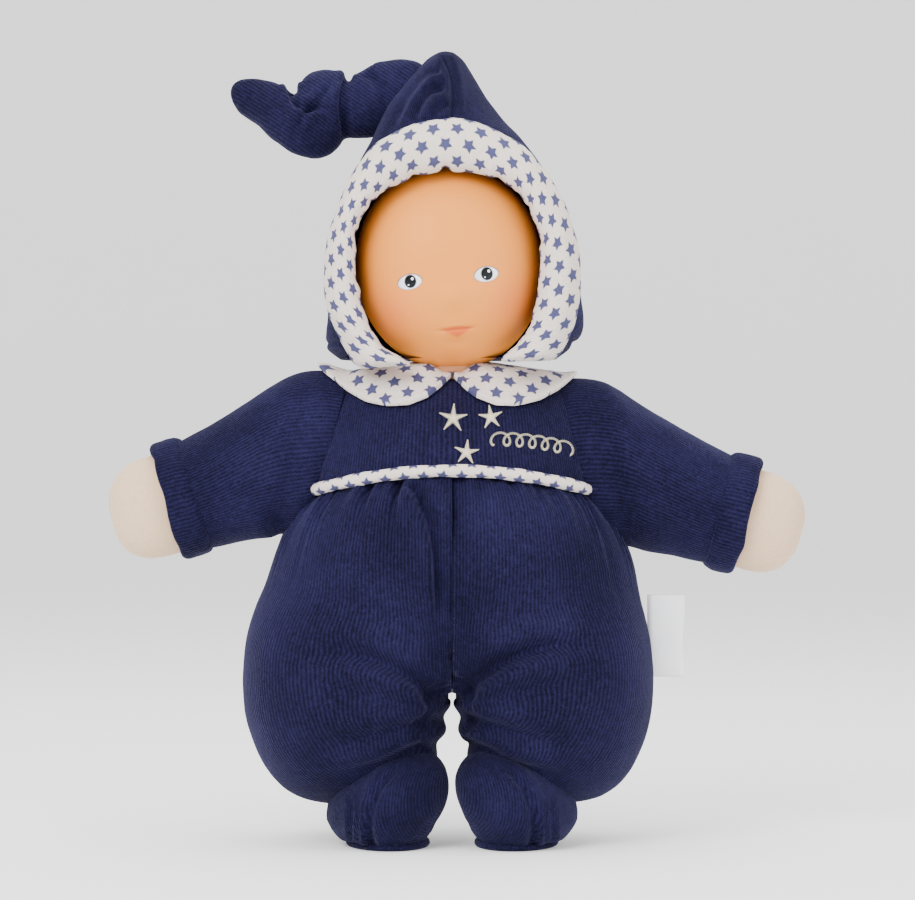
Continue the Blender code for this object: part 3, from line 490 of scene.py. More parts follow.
def cloth_uv(obj, u, v):
    """Lays one u and v in millimetres on each vertex."""
    corners = np.empty(len(obj.data.loops), np.int32)
    obj.data.loops.foreach_get("vertex_index", corners)
    layer = obj.data.uv_layers.get("cloth") or obj.data.uv_layers.new(name="cloth")
    uv = np.stack([u[corners], v[corners]], 1) * MM
    layer.data.foreach_set("uv", uv.astype(np.float32).ravel())


def link(obj, finish):
    dress(obj, finish)
    SCENE.collection.objects.link(obj)
    return obj


def surface(name, points, uv, finish, around=False, caps=False):
    """A grid of points (n, m, 3) as a mesh.

    around closes its second direction, where uv is one wider than the points.
    """
    n, m = points.shape[:2]
    wide = m if around else m - 1
    i, j = np.meshgrid(np.arange(n - 1), np.arange(wide), indexing="ij")
    k = (j + 1) % m
    quads = np.stack([i * m + j, i * m + k, (i + 1) * m + k, (i + 1) * m + j], -1).reshape(-1, 4)
    mesh = bpy.data.meshes.new(name)
    mesh.from_pydata((points.reshape(-1, 3) * MM).tolist(), [], quads.tolist())
    corners = np.stack([uv[:-1, :-1], uv[:-1, 1:], uv[1:, 1:], uv[1:, :-1]], 2).reshape(-1, 2) * MM
    layer = mesh.uv_layers.new(name="cloth")
    layer.data.foreach_set("uv", corners.astype(np.float32).ravel())
    if caps:
        bm = bmesh.new()
        bm.from_mesh(mesh)
        bmesh.ops.holes_fill(bm, edges=[e for e in bm.edges if e.is_boundary], sides=0)
        bmesh.ops.recalc_face_normals(bm, faces=bm.faces[:])
        bm.to_mesh(mesh)
        bm.free()
    mesh.shade_smooth()
    return link(bpy.data.objects.new(name, mesh), finish)


def coords(obj):
    out = np.empty(len(obj.data.vertices) * 3, np.float32)
    obj.data.vertices.foreach_get("co", out)
    return out.reshape(-1, 3).astype(float) / MM


def set_coords(obj, points):
    obj.data.vertices.foreach_set("co", (points * MM).astype(np.float32).ravel())
    obj.data.update()


def normals(obj):
    out = np.empty(len(obj.data.vertices) * 3, np.float32)
    obj.data.vertex_normals.foreach_get("vector", out)
    return out.reshape(-1, 3).astype(float)


def push(obj, amount):
    """Moves each vertex along its normal by amount(points, normals)."""
    points, across = coords(obj), normals(obj)
    set_coords(obj, points + across * amount(points, across)[:, None])


def baked(obj):
    graph = bpy.context.evaluated_depsgraph_get()
    mesh = bpy.data.meshes.new_from_object(obj.evaluated_get(graph), depsgraph=graph)
    obj.modifiers.clear()
    obj.data = mesh
    mesh.shade_smooth()
    return obj


def remesh(obj, voxel):
    made = obj.modifiers.new("remesh", "REMESH")
    made.mode = "VOXEL"
    made.voxel_size = voxel * MM
    return baked(obj)


def subdivide(obj, levels):
    made = obj.modifiers.new("smooth", "SUBSURF")
    made.levels = made.render_levels = levels
    return baked(obj)


def join(name, parts, finish):
    bm = bmesh.new()
    for part in parts:
        bm.from_mesh(part.data)
        bpy.data.objects.remove(part)
    mesh = bpy.data.meshes.new(name)
    bm.to_mesh(mesh)
    bm.free()
    return link(bpy.data.objects.new(name, mesh), finish)


def rumple(points, scale, seed=0.0):
    """Smooth noise from -1 to 1 at each point; scale is the size of its bumps."""
    return np.array([noise.noise(Vector(p) / scale + Vector((seed, seed, seed))) for p in points])


def distance_to(points, line):
    """Distance in the front view from each point to a line of (x, z), and the share of the way along."""
    line = np.array(line, float)
    flat = points[:, [0, 2]]
    far = np.full(len(flat), 1e9)
    share = np.zeros(len(flat))
    along = lengths(line)
    for k in range(len(line) - 1):
        step = line[k + 1] - line[k]
        t = np.clip(((flat - line[k]) @ step) / (step @ step), 0, 1)
        gap = np.linalg.norm(flat - line[k] - t[:, None] * step, axis=1)
        near = gap < far
        far[near] = gap[near]
        share[near] = ((along[k] + t * (along[k + 1] - along[k])) / along[-1])[near]
    return far, share


def crease(points, line, width, depth, fade=(0.12, 0.3), swell=0.4):
    """A sewn or pressed fold along a line seen from the front, with cloth swelling beside it."""
    line = spline(line, 24) if len(line) > 2 else line
    far, share = distance_to(points, line)
    ends = np.clip(share / max(fade[0], 1e-3), 0, 1) * np.clip((1 - share) / max(fade[1], 1e-3), 0, 1)
    valley = -depth * np.exp(-((far / width) ** 2))
    banks = swell * depth * np.exp(-(((far - 2.4 * width) / (1.4 * width)) ** 2))
    return (valley + banks) * ends


def front(across, edge=0.15):
    """1 where a surface faces the front, 0 where it faces the side or back."""
    return np.clip((-across[:, 1] - edge + 0.3) / 0.4, 0, 1)


def puff(obj, pressure, cap, held):
    """Blows cloth up a little. held is 0 to 1 for each vertex, 1 where a seam keeps it."""
    before = coords(obj)
    group = obj.vertex_groups.new(name="seams")
    for index, weight in enumerate(held):
        if weight > 0.01:
            group.add([index], float(weight), "REPLACE")
    cloth = obj.modifiers.new("puff", "CLOTH")
    cloth.settings.quality = 5
    cloth.settings.use_pressure = True
    cloth.settings.uniform_pressure_force = pressure
    cloth.settings.effector_weights.gravity = 0
    cloth.settings.vertex_group_mass = "seams"
    cloth.settings.mass = 0.002
    cloth.settings.tension_stiffness = 3
    cloth.settings.compression_stiffness = 3
    cloth.settings.shear_stiffness = 2
    cloth.settings.bending_stiffness = 0.05
    cloth.point_cache.frame_end = PUFF_FRAMES
    for number in range(1, PUFF_FRAMES + 1):
        SCENE.frame_set(number)
    graph = bpy.context.evaluated_depsgraph_get()
    blown = obj.evaluated_get(graph).to_mesh()
    after = np.empty(len(blown.vertices) * 3, np.float32)
    blown.vertices.foreach_get("co", after)
    after = after.reshape(-1, 3) / MM
    obj.evaluated_get(graph).to_mesh_clear()
    obj.modifiers.clear()
    SCENE.frame_set(1)
    move = after - before
    size = np.linalg.norm(move, axis=1)
    move *= np.minimum(1, cap / np.maximum(size, 1e-6))[:, None]
    set_coords(obj, before + move)
    return obj


def ring(count, power, start=0.25):
    """Unit superellipse (a, b), counted from its +b side, one turn."""
    turn = 2 * math.pi * (np.arange(count) / count + start)
    c, s = np.cos(turn), np.sin(turn)
    return np.sign(c) * abs(c) ** (2 / power), np.sign(s) * abs(s) ** (2 / power)


def tube(name, centres, up, side, half_up, half_side, finish, count=48, power=2.0, caps=True):
    """A skin over rings: up and side are unit vectors at each centre."""
    a, b = ring(count, power)
    points = (
        centres[:, None]
        + side[:, None] * (half_side[:, None] * a)[..., None]
        + up[:, None] * (half_up[:, None] * b)[..., None]
    )
    girth = 2 * math.pi * (half_up + half_side).mean() / 2
    uv = grid_uv(np.linspace(0, girth, count + 1), lengths(centres))
    return surface(name, points, uv, finish, around=True, caps=caps)


def waist(x):
    return WAIST_Z - WAIST_DROP * np.minimum(1.3, (x / WAIST_HALF) ** 2)


TORSO_TABLE = spline(TORSO, 240)


def torso_half(z):
    return (np.interp(z, TORSO_TABLE[:, 0], TORSO_TABLE[:, k]) for k in (1, 2))


def rib_uv(obj, half_width=62.0, half_depth=41.0):
    """UVs that run ribs upright: u goes round the body, v is the height."""
    a = np.linspace(-math.pi, math.pi, 721)
    outline = np.stack([half_width * np.sin(a), -half_depth * np.cos(a)], 1)
    run = lengths(outline)
    run -= run[360]
    points = coords(obj)
    turn = np.arctan2(points[:, 0] / half_width, -points[:, 1] / half_depth)
    cloth_uv(obj, np.interp(turn, a, run), points[:, 2])


def metres(*point):
    return tuple(c * MM for c in point)


# ---------------------------------------------------------------- romper


def romper_half(side):
    """One half of the romper with its leg, merged, puffed and folded."""
    sign = SIDES[side]
    levels = np.linspace(56, WAIST_Z, 30)
    a, b = ring(120, TORSO_POWER)
    half_width, half_depth = torso_half(levels)
    shrink = 1 - 0.10 * np.clip((levels - (WAIST_Z - 2.5)) / 2.5, 0, 1)
    half_width, half_depth = half_width - SLACK, half_depth - SLACK
    x = (half_width * shrink)[:, None] * a
    y = (half_depth * shrink)[:, None] * b
    lift = (waist(x) - 56) / (WAIST_Z - 56)
    z = 56 + (levels - 56)[:, None] * lift
    x = sign * np.maximum(sign * x, 0.35)
    body = np.stack([x, y, z], -1)
    trunk = surface("trunk", body, np.zeros((30, 121, 2)), NAVY, around=True, caps=True)
    turn = np.linspace(0.02, math.pi - 0.02, 34)
    c, s = np.cos(turn), np.sin(turn)
    half = np.where(c * sign > 0, LEG_INNER, LEG_OUTER[side])
    square = np.where(c * sign > 0, 0.55, 0.74)
    along = -half * np.sign(c) * abs(c) ** square
    radius = (LEG_R - 0.6 - SLACK) * s**square
    spin = 2 * math.pi * np.arange(72) / 72
    leg = np.empty((34, 72, 3))
    leg[..., 0] = (sign * HIP[0] + along)[:, None]
    leg[..., 1] = radius[:, None] * np.cos(spin)
    leg[..., 2] = HIP[2] + radius[:, None] * np.sin(spin) * np.where(np.sin(spin) < 0, 1.19, 1.0)
    thigh = surface("thigh", leg, np.zeros((34, 73, 2)), NAVY, around=True, caps=True)
    obj = remesh(join(f"romper_{side}", [trunk, thigh], NAVY), 3.4)
    points = coords(obj)
    held = np.clip(1 - (abs(points[:, 0]) - 0.5) / 4, 0, 1) * (points[:, 2] > 52)
    held = np.maximum(held, np.clip((points[:, 2] - waist(points[:, 0]) + 7) / 4, 0, 1))
    puff(obj, PUFF_PRESSURE, PUFF_CAP, held)
    subdivide(obj, 2)
    dress(obj, NAVY)
    push(obj, lambda p, n: romper_folds(p, n, sign))
    close_middle(obj, sign)
    open_back(obj, sign)
    rib_uv(obj)
    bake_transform(obj)
    parts = ["romper_front", "romper_back", "trouser_leg", "leg_stuffing", "bean_pouch"]
    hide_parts(*(f"{part}_{side}" for part in parts))
    return obj


def close_middle(obj, sign):
    """Lays the wall between the two halves on the middle plane, so that the centre seam is shut."""
    points, across = coords(obj), normals(obj)
    near = (sign * points[:, 0] < 3.2) & (points[:, 2] > 54) & (-sign * across[:, 0] > 0.25)
    points[near, 0] = sign * 0.02
    points[:, 0] = sign * np.maximum(sign * points[:, 0], 0.02)
    set_coords(obj, points)


THIGH_FOLDS = {
    "right": (
        (((-5, 52), (-13, 60), (-24, 66), (-36, 69.5), (-50, 69)), 3.0, 3.8),
        (((-7, 50), (-18, 52), (-30, 55), (-44, 56)), 3.4, 1.5),
        (((-8, 44), (-20, 41.5), (-34, 38), (-48, 35)), 3.6, 2.0),
        (((-9, 36), (-20, 31.5), (-34, 27.5), (-46, 26)), 3.0, 2.0),
    ),
    "left": (
        (((3, 53), (10, 61), (22, 68.5), (36, 72), (52, 71)), 3.0, 4.0),
        (((5, 51), (16, 54), (29, 57.5), (45, 59)), 3.2, 1.6),
        (((4, 44), (14, 42), (28, 39), (44, 36)), 3.2, 2.3),
        (((4, 36), (12, 33), (26, 28), (42, 25)), 3.0, 2.2),
    ),
}


def romper_folds(points, across, sign):
    """How far each vertex moves for the waist gathers, the folds and the seams."""
    side = "left" if sign > 0 else "right"
    x, _, z = points.T
    ahead = front(across)
    amount = 0.45 * rumple(points, 26, 3.1) + 0.14 * rumple(points, 8, 7.7)
    drop = waist(x) - z
    turn = np.arctan2(x / 62, -points[:, 1] / 41)
    pitch = turn * 46
    gathers = np.sin(pitch * 2 * math.pi / 6.2 + 1.8 * np.sin(pitch * 0.31))
    gathers *= 0.55 + 0.45 * np.sin(pitch * 0.43 + 1)
    fade = np.exp(-np.maximum(drop - 1, 0) / 10) * np.clip(drop / 2.5, 0, 1)
    amount += 1.9 * gathers * fade
    amount += 1.6 * np.clip(drop / 4, 0, 1) * np.exp(-((drop - 9) / 9) ** 2)
    for line, width, depth in THIGH_FOLDS[side]:
        amount += crease(points, line, width, depth, fade=(0.02, 0.45)) * ahead
    if sign < 0:
        strip = ((-13.5, 126), (-10.5, 121), (-7.5, 114), (-5.2, 104), (-4.6, 90), (-4.2, 76))
        amount += crease(points, strip, 1.7, 3.4, fade=(0.02, 0.3), swell=0.5) * ahead
    for place, low, depth in ((21, 108, 1.5), (31, 112, 1.2), (12, 112, 1.3)):
        line = ((sign * (place - 3), 128), (sign * place, low))
        amount += crease(points, line, 1.3, depth, fade=(0.05, 0.7)) * ahead
    amount -= 0.8 * np.exp(-((x / 1.6) ** 2)) * (abs(points[:, 1]) > 20)
    behind = 1 - np.clip((0.35 - across[:, 1]) / 0.4, 0, 1)
    seat = ((sign * 4, 50), (sign * 16, 58), (sign * 34, 62), (sign * 52, 61))
    amount += crease(points, seat, 3.0, 3.2, fade=(0.02, 0.4)) * behind
    under = ((sign * 8, 34), (sign * 24, 30), (sign * 44, 31))
    amount += crease(points, under, 3.0, 1.6, fade=(0.05, 0.4)) * behind
    inner = np.clip((-sign * across[:, 0] - 0.3) / 0.4, 0, 1) * (z < 52)
    amount += 0.9 * np.sin(z * 2 * math.pi / 9.5 + 0.5) * inner
    wall = np.clip((-sign * across[:, 0] - 0.5) / 0.3, 0, 1) * (abs(x) < 3.5) * (z > 50)
    return amount * (1 - wall)


def open_back(obj, sign):
    """Opens this side's half of the back slit, with its edge turned in and no wall between the halves."""
    centre_z = (SLIT_LOW + SLIT_HIGH) / 2 * MM
    half_z = (SLIT_HIGH - SLIT_LOW) / 2 * MM
    with opened(obj) as bm:
        gone = []
        for face in bm.faces:
            at = face.calc_center_median()
            rounded = (abs(at.x) / (SLIT_HALF * MM)) ** 4 + (abs(at.z - centre_z) / half_z) ** 4
            inner = abs(at.x) < 2 * MM and sign * face.normal.x < -0.6
            wall = inner and abs(at.z - centre_z) < half_z + 2 * MM
            if (at.y > 20 * MM and rounded < 1) or (wall and at.y > -4 * MM):
                gone.append(face)
        bmesh.ops.delete(bm, geom=gone, context="FACES")
        edges = [e for e in bm.edges if e.is_boundary]
        grown = bmesh.ops.extrude_edge_only(bm, edges=edges)["geom"]
        for vert in (v for v in grown if isinstance(v, bmesh.types.BMVert)):
            vert.co.y -= 5 * MM if vert.co.y > 20 * MM else 0
            vert.co.x += sign * 0.4 * MM if vert.co.y > 20 * MM else 0
    obj.data.shade_smooth()


# ---------------------------------------------------------------- yoke, sleeves, hands


def make_yoke():
    """Chest and back above the waist seam, in one closed form."""
    below, above = np.linspace(WAIST_Z - 3, WAIST_Z, 4), np.linspace(WAIST_Z + 0.6, 164.5, 50)
    levels = np.concatenate([below, above])
    a, b = ring(200, TORSO_POWER)
    half_width, half_depth = torso_half(levels)
    shrink = 1 - 0.10 * np.clip((WAIST_Z - levels) / 3, 0, 1)
    x = (half_width * shrink)[:, None] * a
    y = (half_depth * shrink)[:, None] * b
    share = np.clip(1 - (levels - WAIST_Z) / 32, 0, 1)[:, None]
    z = levels[:, None] - (WAIST_Z - waist(x)) * share
    points = np.stack([x, y, z], -1)
    uv = grid_uv(np.linspace(0, 270, 201), lengths(points[:, 50]))
    obj = surface("chest_and_back_yoke", points, uv, NAVY, around=True, caps=True)

    def shape(p, n):
        amount = 0.5 * rumple(p, 22, 11.3) + 0.12 * rumple(p, 6, 2.2)
        for sign in (1, -1):
            line = ((sign * 43, 166), (sign * 46.6, 150), (sign * 47.6, 138), (sign * 49, 124))
            amount += crease(p, line, 1.6, 1.2, fade=(0.02, 0.02))
        return amount

    push(obj, shape)
    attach(obj, "torso")
    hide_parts("chest_yoke", "back_yoke", "torso_stuffing")
    return obj


def strip_rings(rows, count, sign):
    """Centres, ups and half heights of rings that stand between a top line and a bottom line."""
    smooth = spline(rows, count)
    top = np.stack([sign * smooth[:, 0], np.zeros(count), smooth[:, 1]], 1)
    low = np.stack([sign * smooth[:, 2], np.zeros(count), smooth[:, 3]], 1)
    up = top - low
    height = np.linalg.norm(up, axis=1)
    return (top + low) / 2, up / height[:, None], height / 2, smooth[:, 4]


def make_sleeve(side):
    sign = SIDES[side]
    centres, up, half_up, half_side = strip_rings(SLEEVE[side], 60, sign)
    depth = np.tile(np.array([0, 1.0, 0]), (60, 1))
    name = f"sleeve_cloth_{side}"
    obj = tube(name, centres, up, depth, half_up, half_side, NAVY, count=120, power=ARM_POWER)

    def shape(p, n):
        reach = (abs(p[:, 0]) - 44) / 50
        amount = 0.5 * rumple(p, 20, 5.5 * sign) + 0.14 * rumple(p, 7, 1.5)
        root = ((sign * 50, 160), (sign * 54, 140), (sign * 58, 120), (sign * 64, 108))
        amount += crease(p, root, 3.2, 0.8, fade=(0.05, 0.05))
        ahead = front(n)
        fold = ((sign * 58, 112), (sign * 68, 121), (sign * 80, 126))
        amount += crease(p, fold, 3.0, 1.3, fade=(0.02, 0.7)) * ahead
        hem = ((sign * 88, 140), (sign * 84, 122), (sign * 80, 104))
        return amount + crease(p, hem, 2.0, 0.3) * (reach > 0.5)

    push(obj, shape)
    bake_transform(obj)
    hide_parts(f"sleeve_{side}", f"arm_stuffing_{side}")
    make_cuff(side, centres[-1], up[-1], half_up[-1], half_side[-1])
    return obj


def make_cuff(side, centre, up, half_up, half_side):
    """A turned-back cuff: its section is a flat loop of doubled cloth, wrapped round the arm."""
    sign = SIDES[side]
    out = np.array([sign * up[2], 0, -sign * up[0]])
    section = spline(
        [
            (-1.2, -1.6), (-0.9, 0.4), (0.6, 1.5), (3, 1.9), (6.5, 2.0), (8.8, 1.7),
            (9.8, 0.5), (9.2, -1.0), (7.2, -1.9), (4, -2.2), (1, -2.4), (-1.2, -1.6),
        ],
        40,
    )[:-1]
    a, b = ring(140, ARM_POWER)
    ring_u = np.arange(140) / 140
    wave = 0.35 * np.sin(ring_u * 2 * math.pi * 3 + 1) + 0.25 * np.sin(ring_u * 2 * math.pi * 7)
    depth = np.array([0, 1.0, 0])
    spread = up * (half_up * b)[:, None] + depth * (half_side * a)[:, None]
    unit = spread / np.linalg.norm(spread, axis=1)[:, None]
    points = np.empty((140, len(section), 3))
    for k, (along, proud) in enumerate(section):
        lift, slide = proud + wave * 0.6, along + wave * (along > 6)
        points[:, k] = centre + spread + unit * lift[:, None] + out * slide[:, None]
    closed = np.concatenate([points, points[:1]])
    girth = np.linspace(0, 2 * math.pi * half_up * 0.92, 141)
    uv = grid_uv(lengths(np.concatenate([section, section[:1]])), girth)[..., ::-1]
    obj = surface(f"cuff_hem_{side}", closed, uv, NAVY, around=True)
    with opened(obj) as bm:
        bmesh.ops.remove_doubles(bm, verts=bm.verts[:], dist=1e-6)
        bmesh.ops.recalc_face_normals(bm, faces=bm.faces[:])
    push(obj, lambda p, n: 0.25 * rumple(p, 5, 9.0) + 0.12 * rumple(p, 2.2, 4.0))
    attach(obj, f"{side}_arm")
    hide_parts(f"cuff_{side}")
    make_hand(side, centre, up, out, half_up)


def make_hand(side, centre, up, out, half_up):
    """A knit mitten with no fingers, rounder below than above."""
    reach = HAND_REACH[side]
    count = 46
    t = np.linspace(0, 1, count)
    along = -4 + (CUFF_WIDE + reach + 4) * t
    round_off = np.clip(1 - np.clip((t - 0.44) / 0.56, 0, 1) ** 2.7, 0, 1) ** (1 / 2.2)
    round_off[-1] = 0.03
    tall = (half_up - 1.6) * round_off
    thick = 13.4 * round_off
    sink = -1.2 * t**2
    centres = centre + out * along[:, None] + up * sink[:, None]
    ups, depth = np.tile(up, (count, 1)), np.tile(np.array([0, 1.0, 0]), (count, 1))
    obj = tube(f"mitten_{side}", centres, ups, depth, tall, thick, HAND_KNIT, count=90, power=2.25)
    push(obj, lambda p, n: 0.4 * rumple(p, 14, 6.0) - 0.35 * np.exp(-((abs(p[:, 1]) / 0.8) ** 2)))
    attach(obj, f"{side}_arm")
    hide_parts(f"hand_{side}")


# ---------------------------------------------------------------- feet and label


def make_foot(side):
    """A stubby bootie, flat below, with a side seam and pleats at its outer edge."""
    sign = SIDES[side]
    rows, cols = 90, 120
    tilt = np.linspace(0.02, math.pi - 0.02, rows)
    turn = 2 * math.pi * np.arange(cols) / cols
    points = np.empty((rows, cols, 3))
    points[..., 0] = FOOT_R[0] * np.sin(tilt)[:, None] ** 0.85 * np.cos(turn)
    points[..., 1] = FOOT_R[1] * np.sin(tilt)[:, None] ** 0.85 * np.sin(turn)
    points[..., 2] = (FOOT_R[2] * np.cos(tilt))[:, None]
    low = points[..., 2] < -13.6
    points[..., 2] = np.where(low, -13.6 + (points[..., 2] + 13.6) * 0.12, points[..., 2])
    points[..., 0] -= sign * 5.5 * np.clip(points[..., 2] / FOOT_R[2], -0.4, 1)
    c, s = math.cos(-sign * FOOT_TURN), math.sin(-sign * FOOT_TURN)
    x, y = points[..., 0].copy(), points[..., 1].copy()
    points[..., 0] = x * c - y * s + sign * FOOT_AT[0]
    points[..., 1] = x * s + y * c + FOOT_AT[1]
    points[..., 2] += FOOT_AT[2]
    uv = np.zeros((rows, cols + 1, 2))
    obj = surface(f"bootie_cloth_{side}", points, uv, NAVY, around=True, caps=True)

    def shape(p, n):
        amount = 0.35 * rumple(p, 11, 8.0 * sign) + 0.12 * rumple(p, 4, 3.0)
        outer = sign * p[:, 0]
        seam = ((sign * 27.5, 2), (sign * 27.8, 12), (sign * 25, 22), (sign * 18, 29))
        amount += crease(p, seam, 1.2, 1.9, fade=(0.02, 0.2)) * front(n, 0.1)
        for place in (29.5, 32.3, 35):
            line = ((sign * place, 3), (sign * (place - 0.8), 20))
            amount += crease(p, line, 0.8, 1.1, fade=(0.05, 0.3)) * front(n, 0.2)
        amount += 0.9 * np.exp(-(((outer - 15) / 9) ** 2)) * (p[:, 1] < -15)
        return amount

    push(obj, shape)
    rib_uv(obj, 60, 50)
    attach(obj, f"{side}_leg")
    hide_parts(f"bootie_{side}")
    make_sole(side, c, s)


def make_sole(side, c, s):
    """A flat pad under the bootie, turned by the same angle."""
    sign = SIDES[side]
    outline = ((0.02, 0), (0.9, 0), (1.03, 0.5), (1.05, 1.4), (1.0, 2.4), (0.8, 2.8), (0.02, 2.8))
    profile = spline(outline, 26)
    turn = 2 * math.pi * np.arange(96) / 96
    x = profile[:, :1] * SOLE_HALF[0] * np.cos(turn)
    y = profile[:, :1] * SOLE_HALF[1] * np.sin(turn)
    points = np.empty((26, 96, 3))
    points[..., 0] = x * c - y * s + sign * FOOT_AT[0]
    points[..., 1] = x * s + y * c + FOOT_AT[1]
    points[..., 2] = np.maximum(profile[:, 1:], 0)
    uv = grid_uv(np.linspace(0, 120, 97), lengths(profile * (14.6, 1)))
    obj = surface(f"sole_pad_{side}", points, uv, NAVY, around=True, caps=True)
    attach(obj, f"{side}_leg")
    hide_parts(f"sole_{side}")


def make_label():
    """A folded satin label that stands out of the side seam; its fold is at the outside."""
    rows, cols = 40, 44
    height = np.linspace(*LABEL_Z, rows)
    way = np.linspace(0, 1, cols)
    x = LABEL_X + LABEL_OUT * np.sin(way * math.pi) ** 0.7
    y = np.interp(way, (0, 0.3, 0.5, 0.7, 1), (-0.5, -0.75, 0, 0.75, 0.5))
    points = np.empty((rows, cols, 3))
    wave = 0.5 * np.sin(height / 7)
    points[..., 0] = x[None] + 0.4 * np.sin(height / 4.1)[:, None] * (x[None] > 76)
    points[..., 1] = y[None] + wave[:, None] * ((x - LABEL_X) / LABEL_OUT)[None]
    points[..., 2] = height[:, None]
    obj = surface("side_label", points, grid_uv(lengths(np.stack([x, y], 1)), height), SATIN)
    thick = obj.modifiers.new("thick", "SOLIDIFY")
    thick.thickness = 0.25 * MM
    thick.offset = 0
    baked(obj)
    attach(obj, "left_leg")
    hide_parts("care_label")


# ---------------------------------------------------------------- head


def head_frame(x, z):
    """From the head's own x and z, before its roll, to the doll's."""
    c, s = math.cos(HEAD_ROLL), math.sin(HEAD_ROLL)
    return HEAD_AT[0] + x * c - z * s, HEAD_AT[2] + x * s + z * c


def face_depth(x, z):
    """Depth of the face's surface at the head's own x and z."""
    far = np.clip((abs(x) / HEAD_R[0]) ** 2.12 + (abs(z) / HEAD_R[2]) ** 2.08, 0, 1)
    y = -HEAD_R[1] * (1 - far) ** (1 / 2.08)
    y -= 1.5 * np.exp(-(((abs(x) - 15) / 9) ** 2) - ((z + 15) / 10) ** 2)
    y -= 1.5 * np.exp(-((x / 4.4) ** 2) - ((z + 12.5) / 4.6) ** 2)
    y += 0.8 * np.exp(-((x / 6.5) ** 2) - ((z + 4) / 6) ** 2)
    y += 0.7 * np.exp(-(((abs(x) - 13.4) / 7) ** 2) - ((z + 4.4) / 5) ** 2)
    lips = x - 0.4
    y -= 1.0 * np.exp(-((lips / 6) ** 2) - ((z + 23.4) / 4.2) ** 2)
    y += 0.75 * np.exp(-((lips / 6.6) ** 4) - ((z + 22.9 - 0.004 * lips**2) / 0.6) ** 2)
    y += 0.5 * np.exp(-((lips / 5) ** 2) - ((z + 27.4) / 1.6) ** 2)
    return y - 0.8 * np.exp(-((x / 9) ** 2) - ((z + 31) / 4) ** 2)


def make_face():
    """The vinyl face, with the lips and cheeks in a colour layer."""
    rows, cols = 250, 220
    tilt = np.linspace(0.01, math.pi - 0.01, rows)
    turn = np.linspace(-math.pi * 0.56, math.pi * 0.56, cols)
    x = HEAD_R[0] * np.sin(tilt)[:, None] * np.sin(turn)
    z = (HEAD_R[2] * np.cos(tilt))[:, None] + 0 * x
    back = np.cos(turn)[None] < 0
    y = np.where(back, -HEAD_R[1] * np.sin(tilt)[:, None] * np.cos(turn), face_depth(x, z))
    place_x, place_z = head_frame(x, z)
    points = np.stack([place_x, y + HEAD_AT[1], place_z], -1)
    obj = surface("face_vinyl", points, np.stack([abs(x), z], -1), VINYL)
    skin = np.array((0.78, 0.262, 0.034))
    warm = np.array((0.76, 0.190, 0.040))
    lip = np.array((0.66, 0.090, 0.020))
    dark = np.array((0.36, 0.035, 0.010))
    fx, fz = x.ravel(), z.ravel()
    cheeks = 0.75 * np.exp(-(((abs(fx) - 21) / 9) ** 2) - ((fz + 15) / 9) ** 2)
    cheeks += 0.2 * np.exp(-((fx / 12) ** 2) - ((fz + 32) / 5) ** 2)
    lx = fx - 0.4
    line = -22.9 + 0.004 * lx**2
    taper = np.clip(1 - abs(lx) / 6.9, 0, 1)
    upper = np.clip((fz - line + 0.2) / 0.5, 0, 1)
    upper *= np.clip((line + 1.35 * taper**0.8 - fz) / 0.5, 0, 1)
    full = 3.3 * np.clip(1 - abs(lx) / 4.6, 0, 1) ** 0.6
    lower = np.clip((line + 0.2 - fz) / 0.5, 0, 1) * np.clip((fz - line + full) / 0.9, 0, 1)
    mid = np.exp(-(((fz - line) / 0.34) ** 2)) * np.clip((6.8 - abs(lx)) / 2.5, 0, 1)
    colour = skin + (warm - skin) * np.clip(cheeks, 0, 1)[:, None]
    colour += (lip - colour) * (0.85 * np.clip(upper + lower, 0, 1))[:, None]
    colour += (dark - colour) * (0.7 * mid)[:, None]
    layer = obj.data.color_attributes.new("blush", "FLOAT_COLOR", "POINT")
    opaque = np.concatenate([colour, np.ones((len(colour), 1))], 1)
    layer.data.foreach_set("color", opaque.astype(np.float32).ravel())
    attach(obj, "head")
    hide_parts("vinyl_face")
    for number, (ex, ez) in enumerate(EYES, 1):
        make_eye(f"eye_{number}", ex, ez)
    return obj


def make_eye(name, at_x, at_z):
    """A thin almond patch on the face."""
    rows, cols = 26, 90
    share = np.linspace(0.02, 1, rows) ** 0.8
    turn = 2 * math.pi * np.arange(cols) / cols
    edge_x = 4.55 * np.cos(turn)
    lid = np.sqrt(np.clip(1 - abs(np.cos(turn)) ** 2.0, 0, 1))
    edge_z = np.where(np.sin(turn) > 0, 2.95 * lid**1.15, -2.75 * lid**1.05)
    lean = 0.06
    px = share[:, None] * edge_x
    pz = share[:, None] * edge_z + lean * px
    x, z = at_x + px, at_z + pz
    y = face_depth(x, z) - 0.14 * (1 - share[:, None] ** 6)
    place_x, place_z = head_frame(x, z)
    points = np.stack([place_x, y + HEAD_AT[1], place_z], -1)
    look = (0.2, 0.25)
    flat = np.stack([px, pz], -1)
    uv = (np.concatenate([flat, flat[:, :1]], 1) - look) / 10 / MM + 0.5 / MM
    obj = surface(name, points, uv, EYE, around=True, caps=True)
    rim = np.zeros((rows, cols, 4))
    rim[..., 0] = np.clip((share[:, None] - 0.82) / 0.12, 0, 1)
    rim[..., 1] = np.clip(0.25 + np.sin(turn) * 1.4, 0, 1)
    rim[..., 3] = 1
    layer = obj.data.color_attributes.new("rim", "FLOAT_COLOR", "POINT")
    layer.data.foreach_set("color", rim.astype(np.float32).ravel())
    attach(obj, "head")


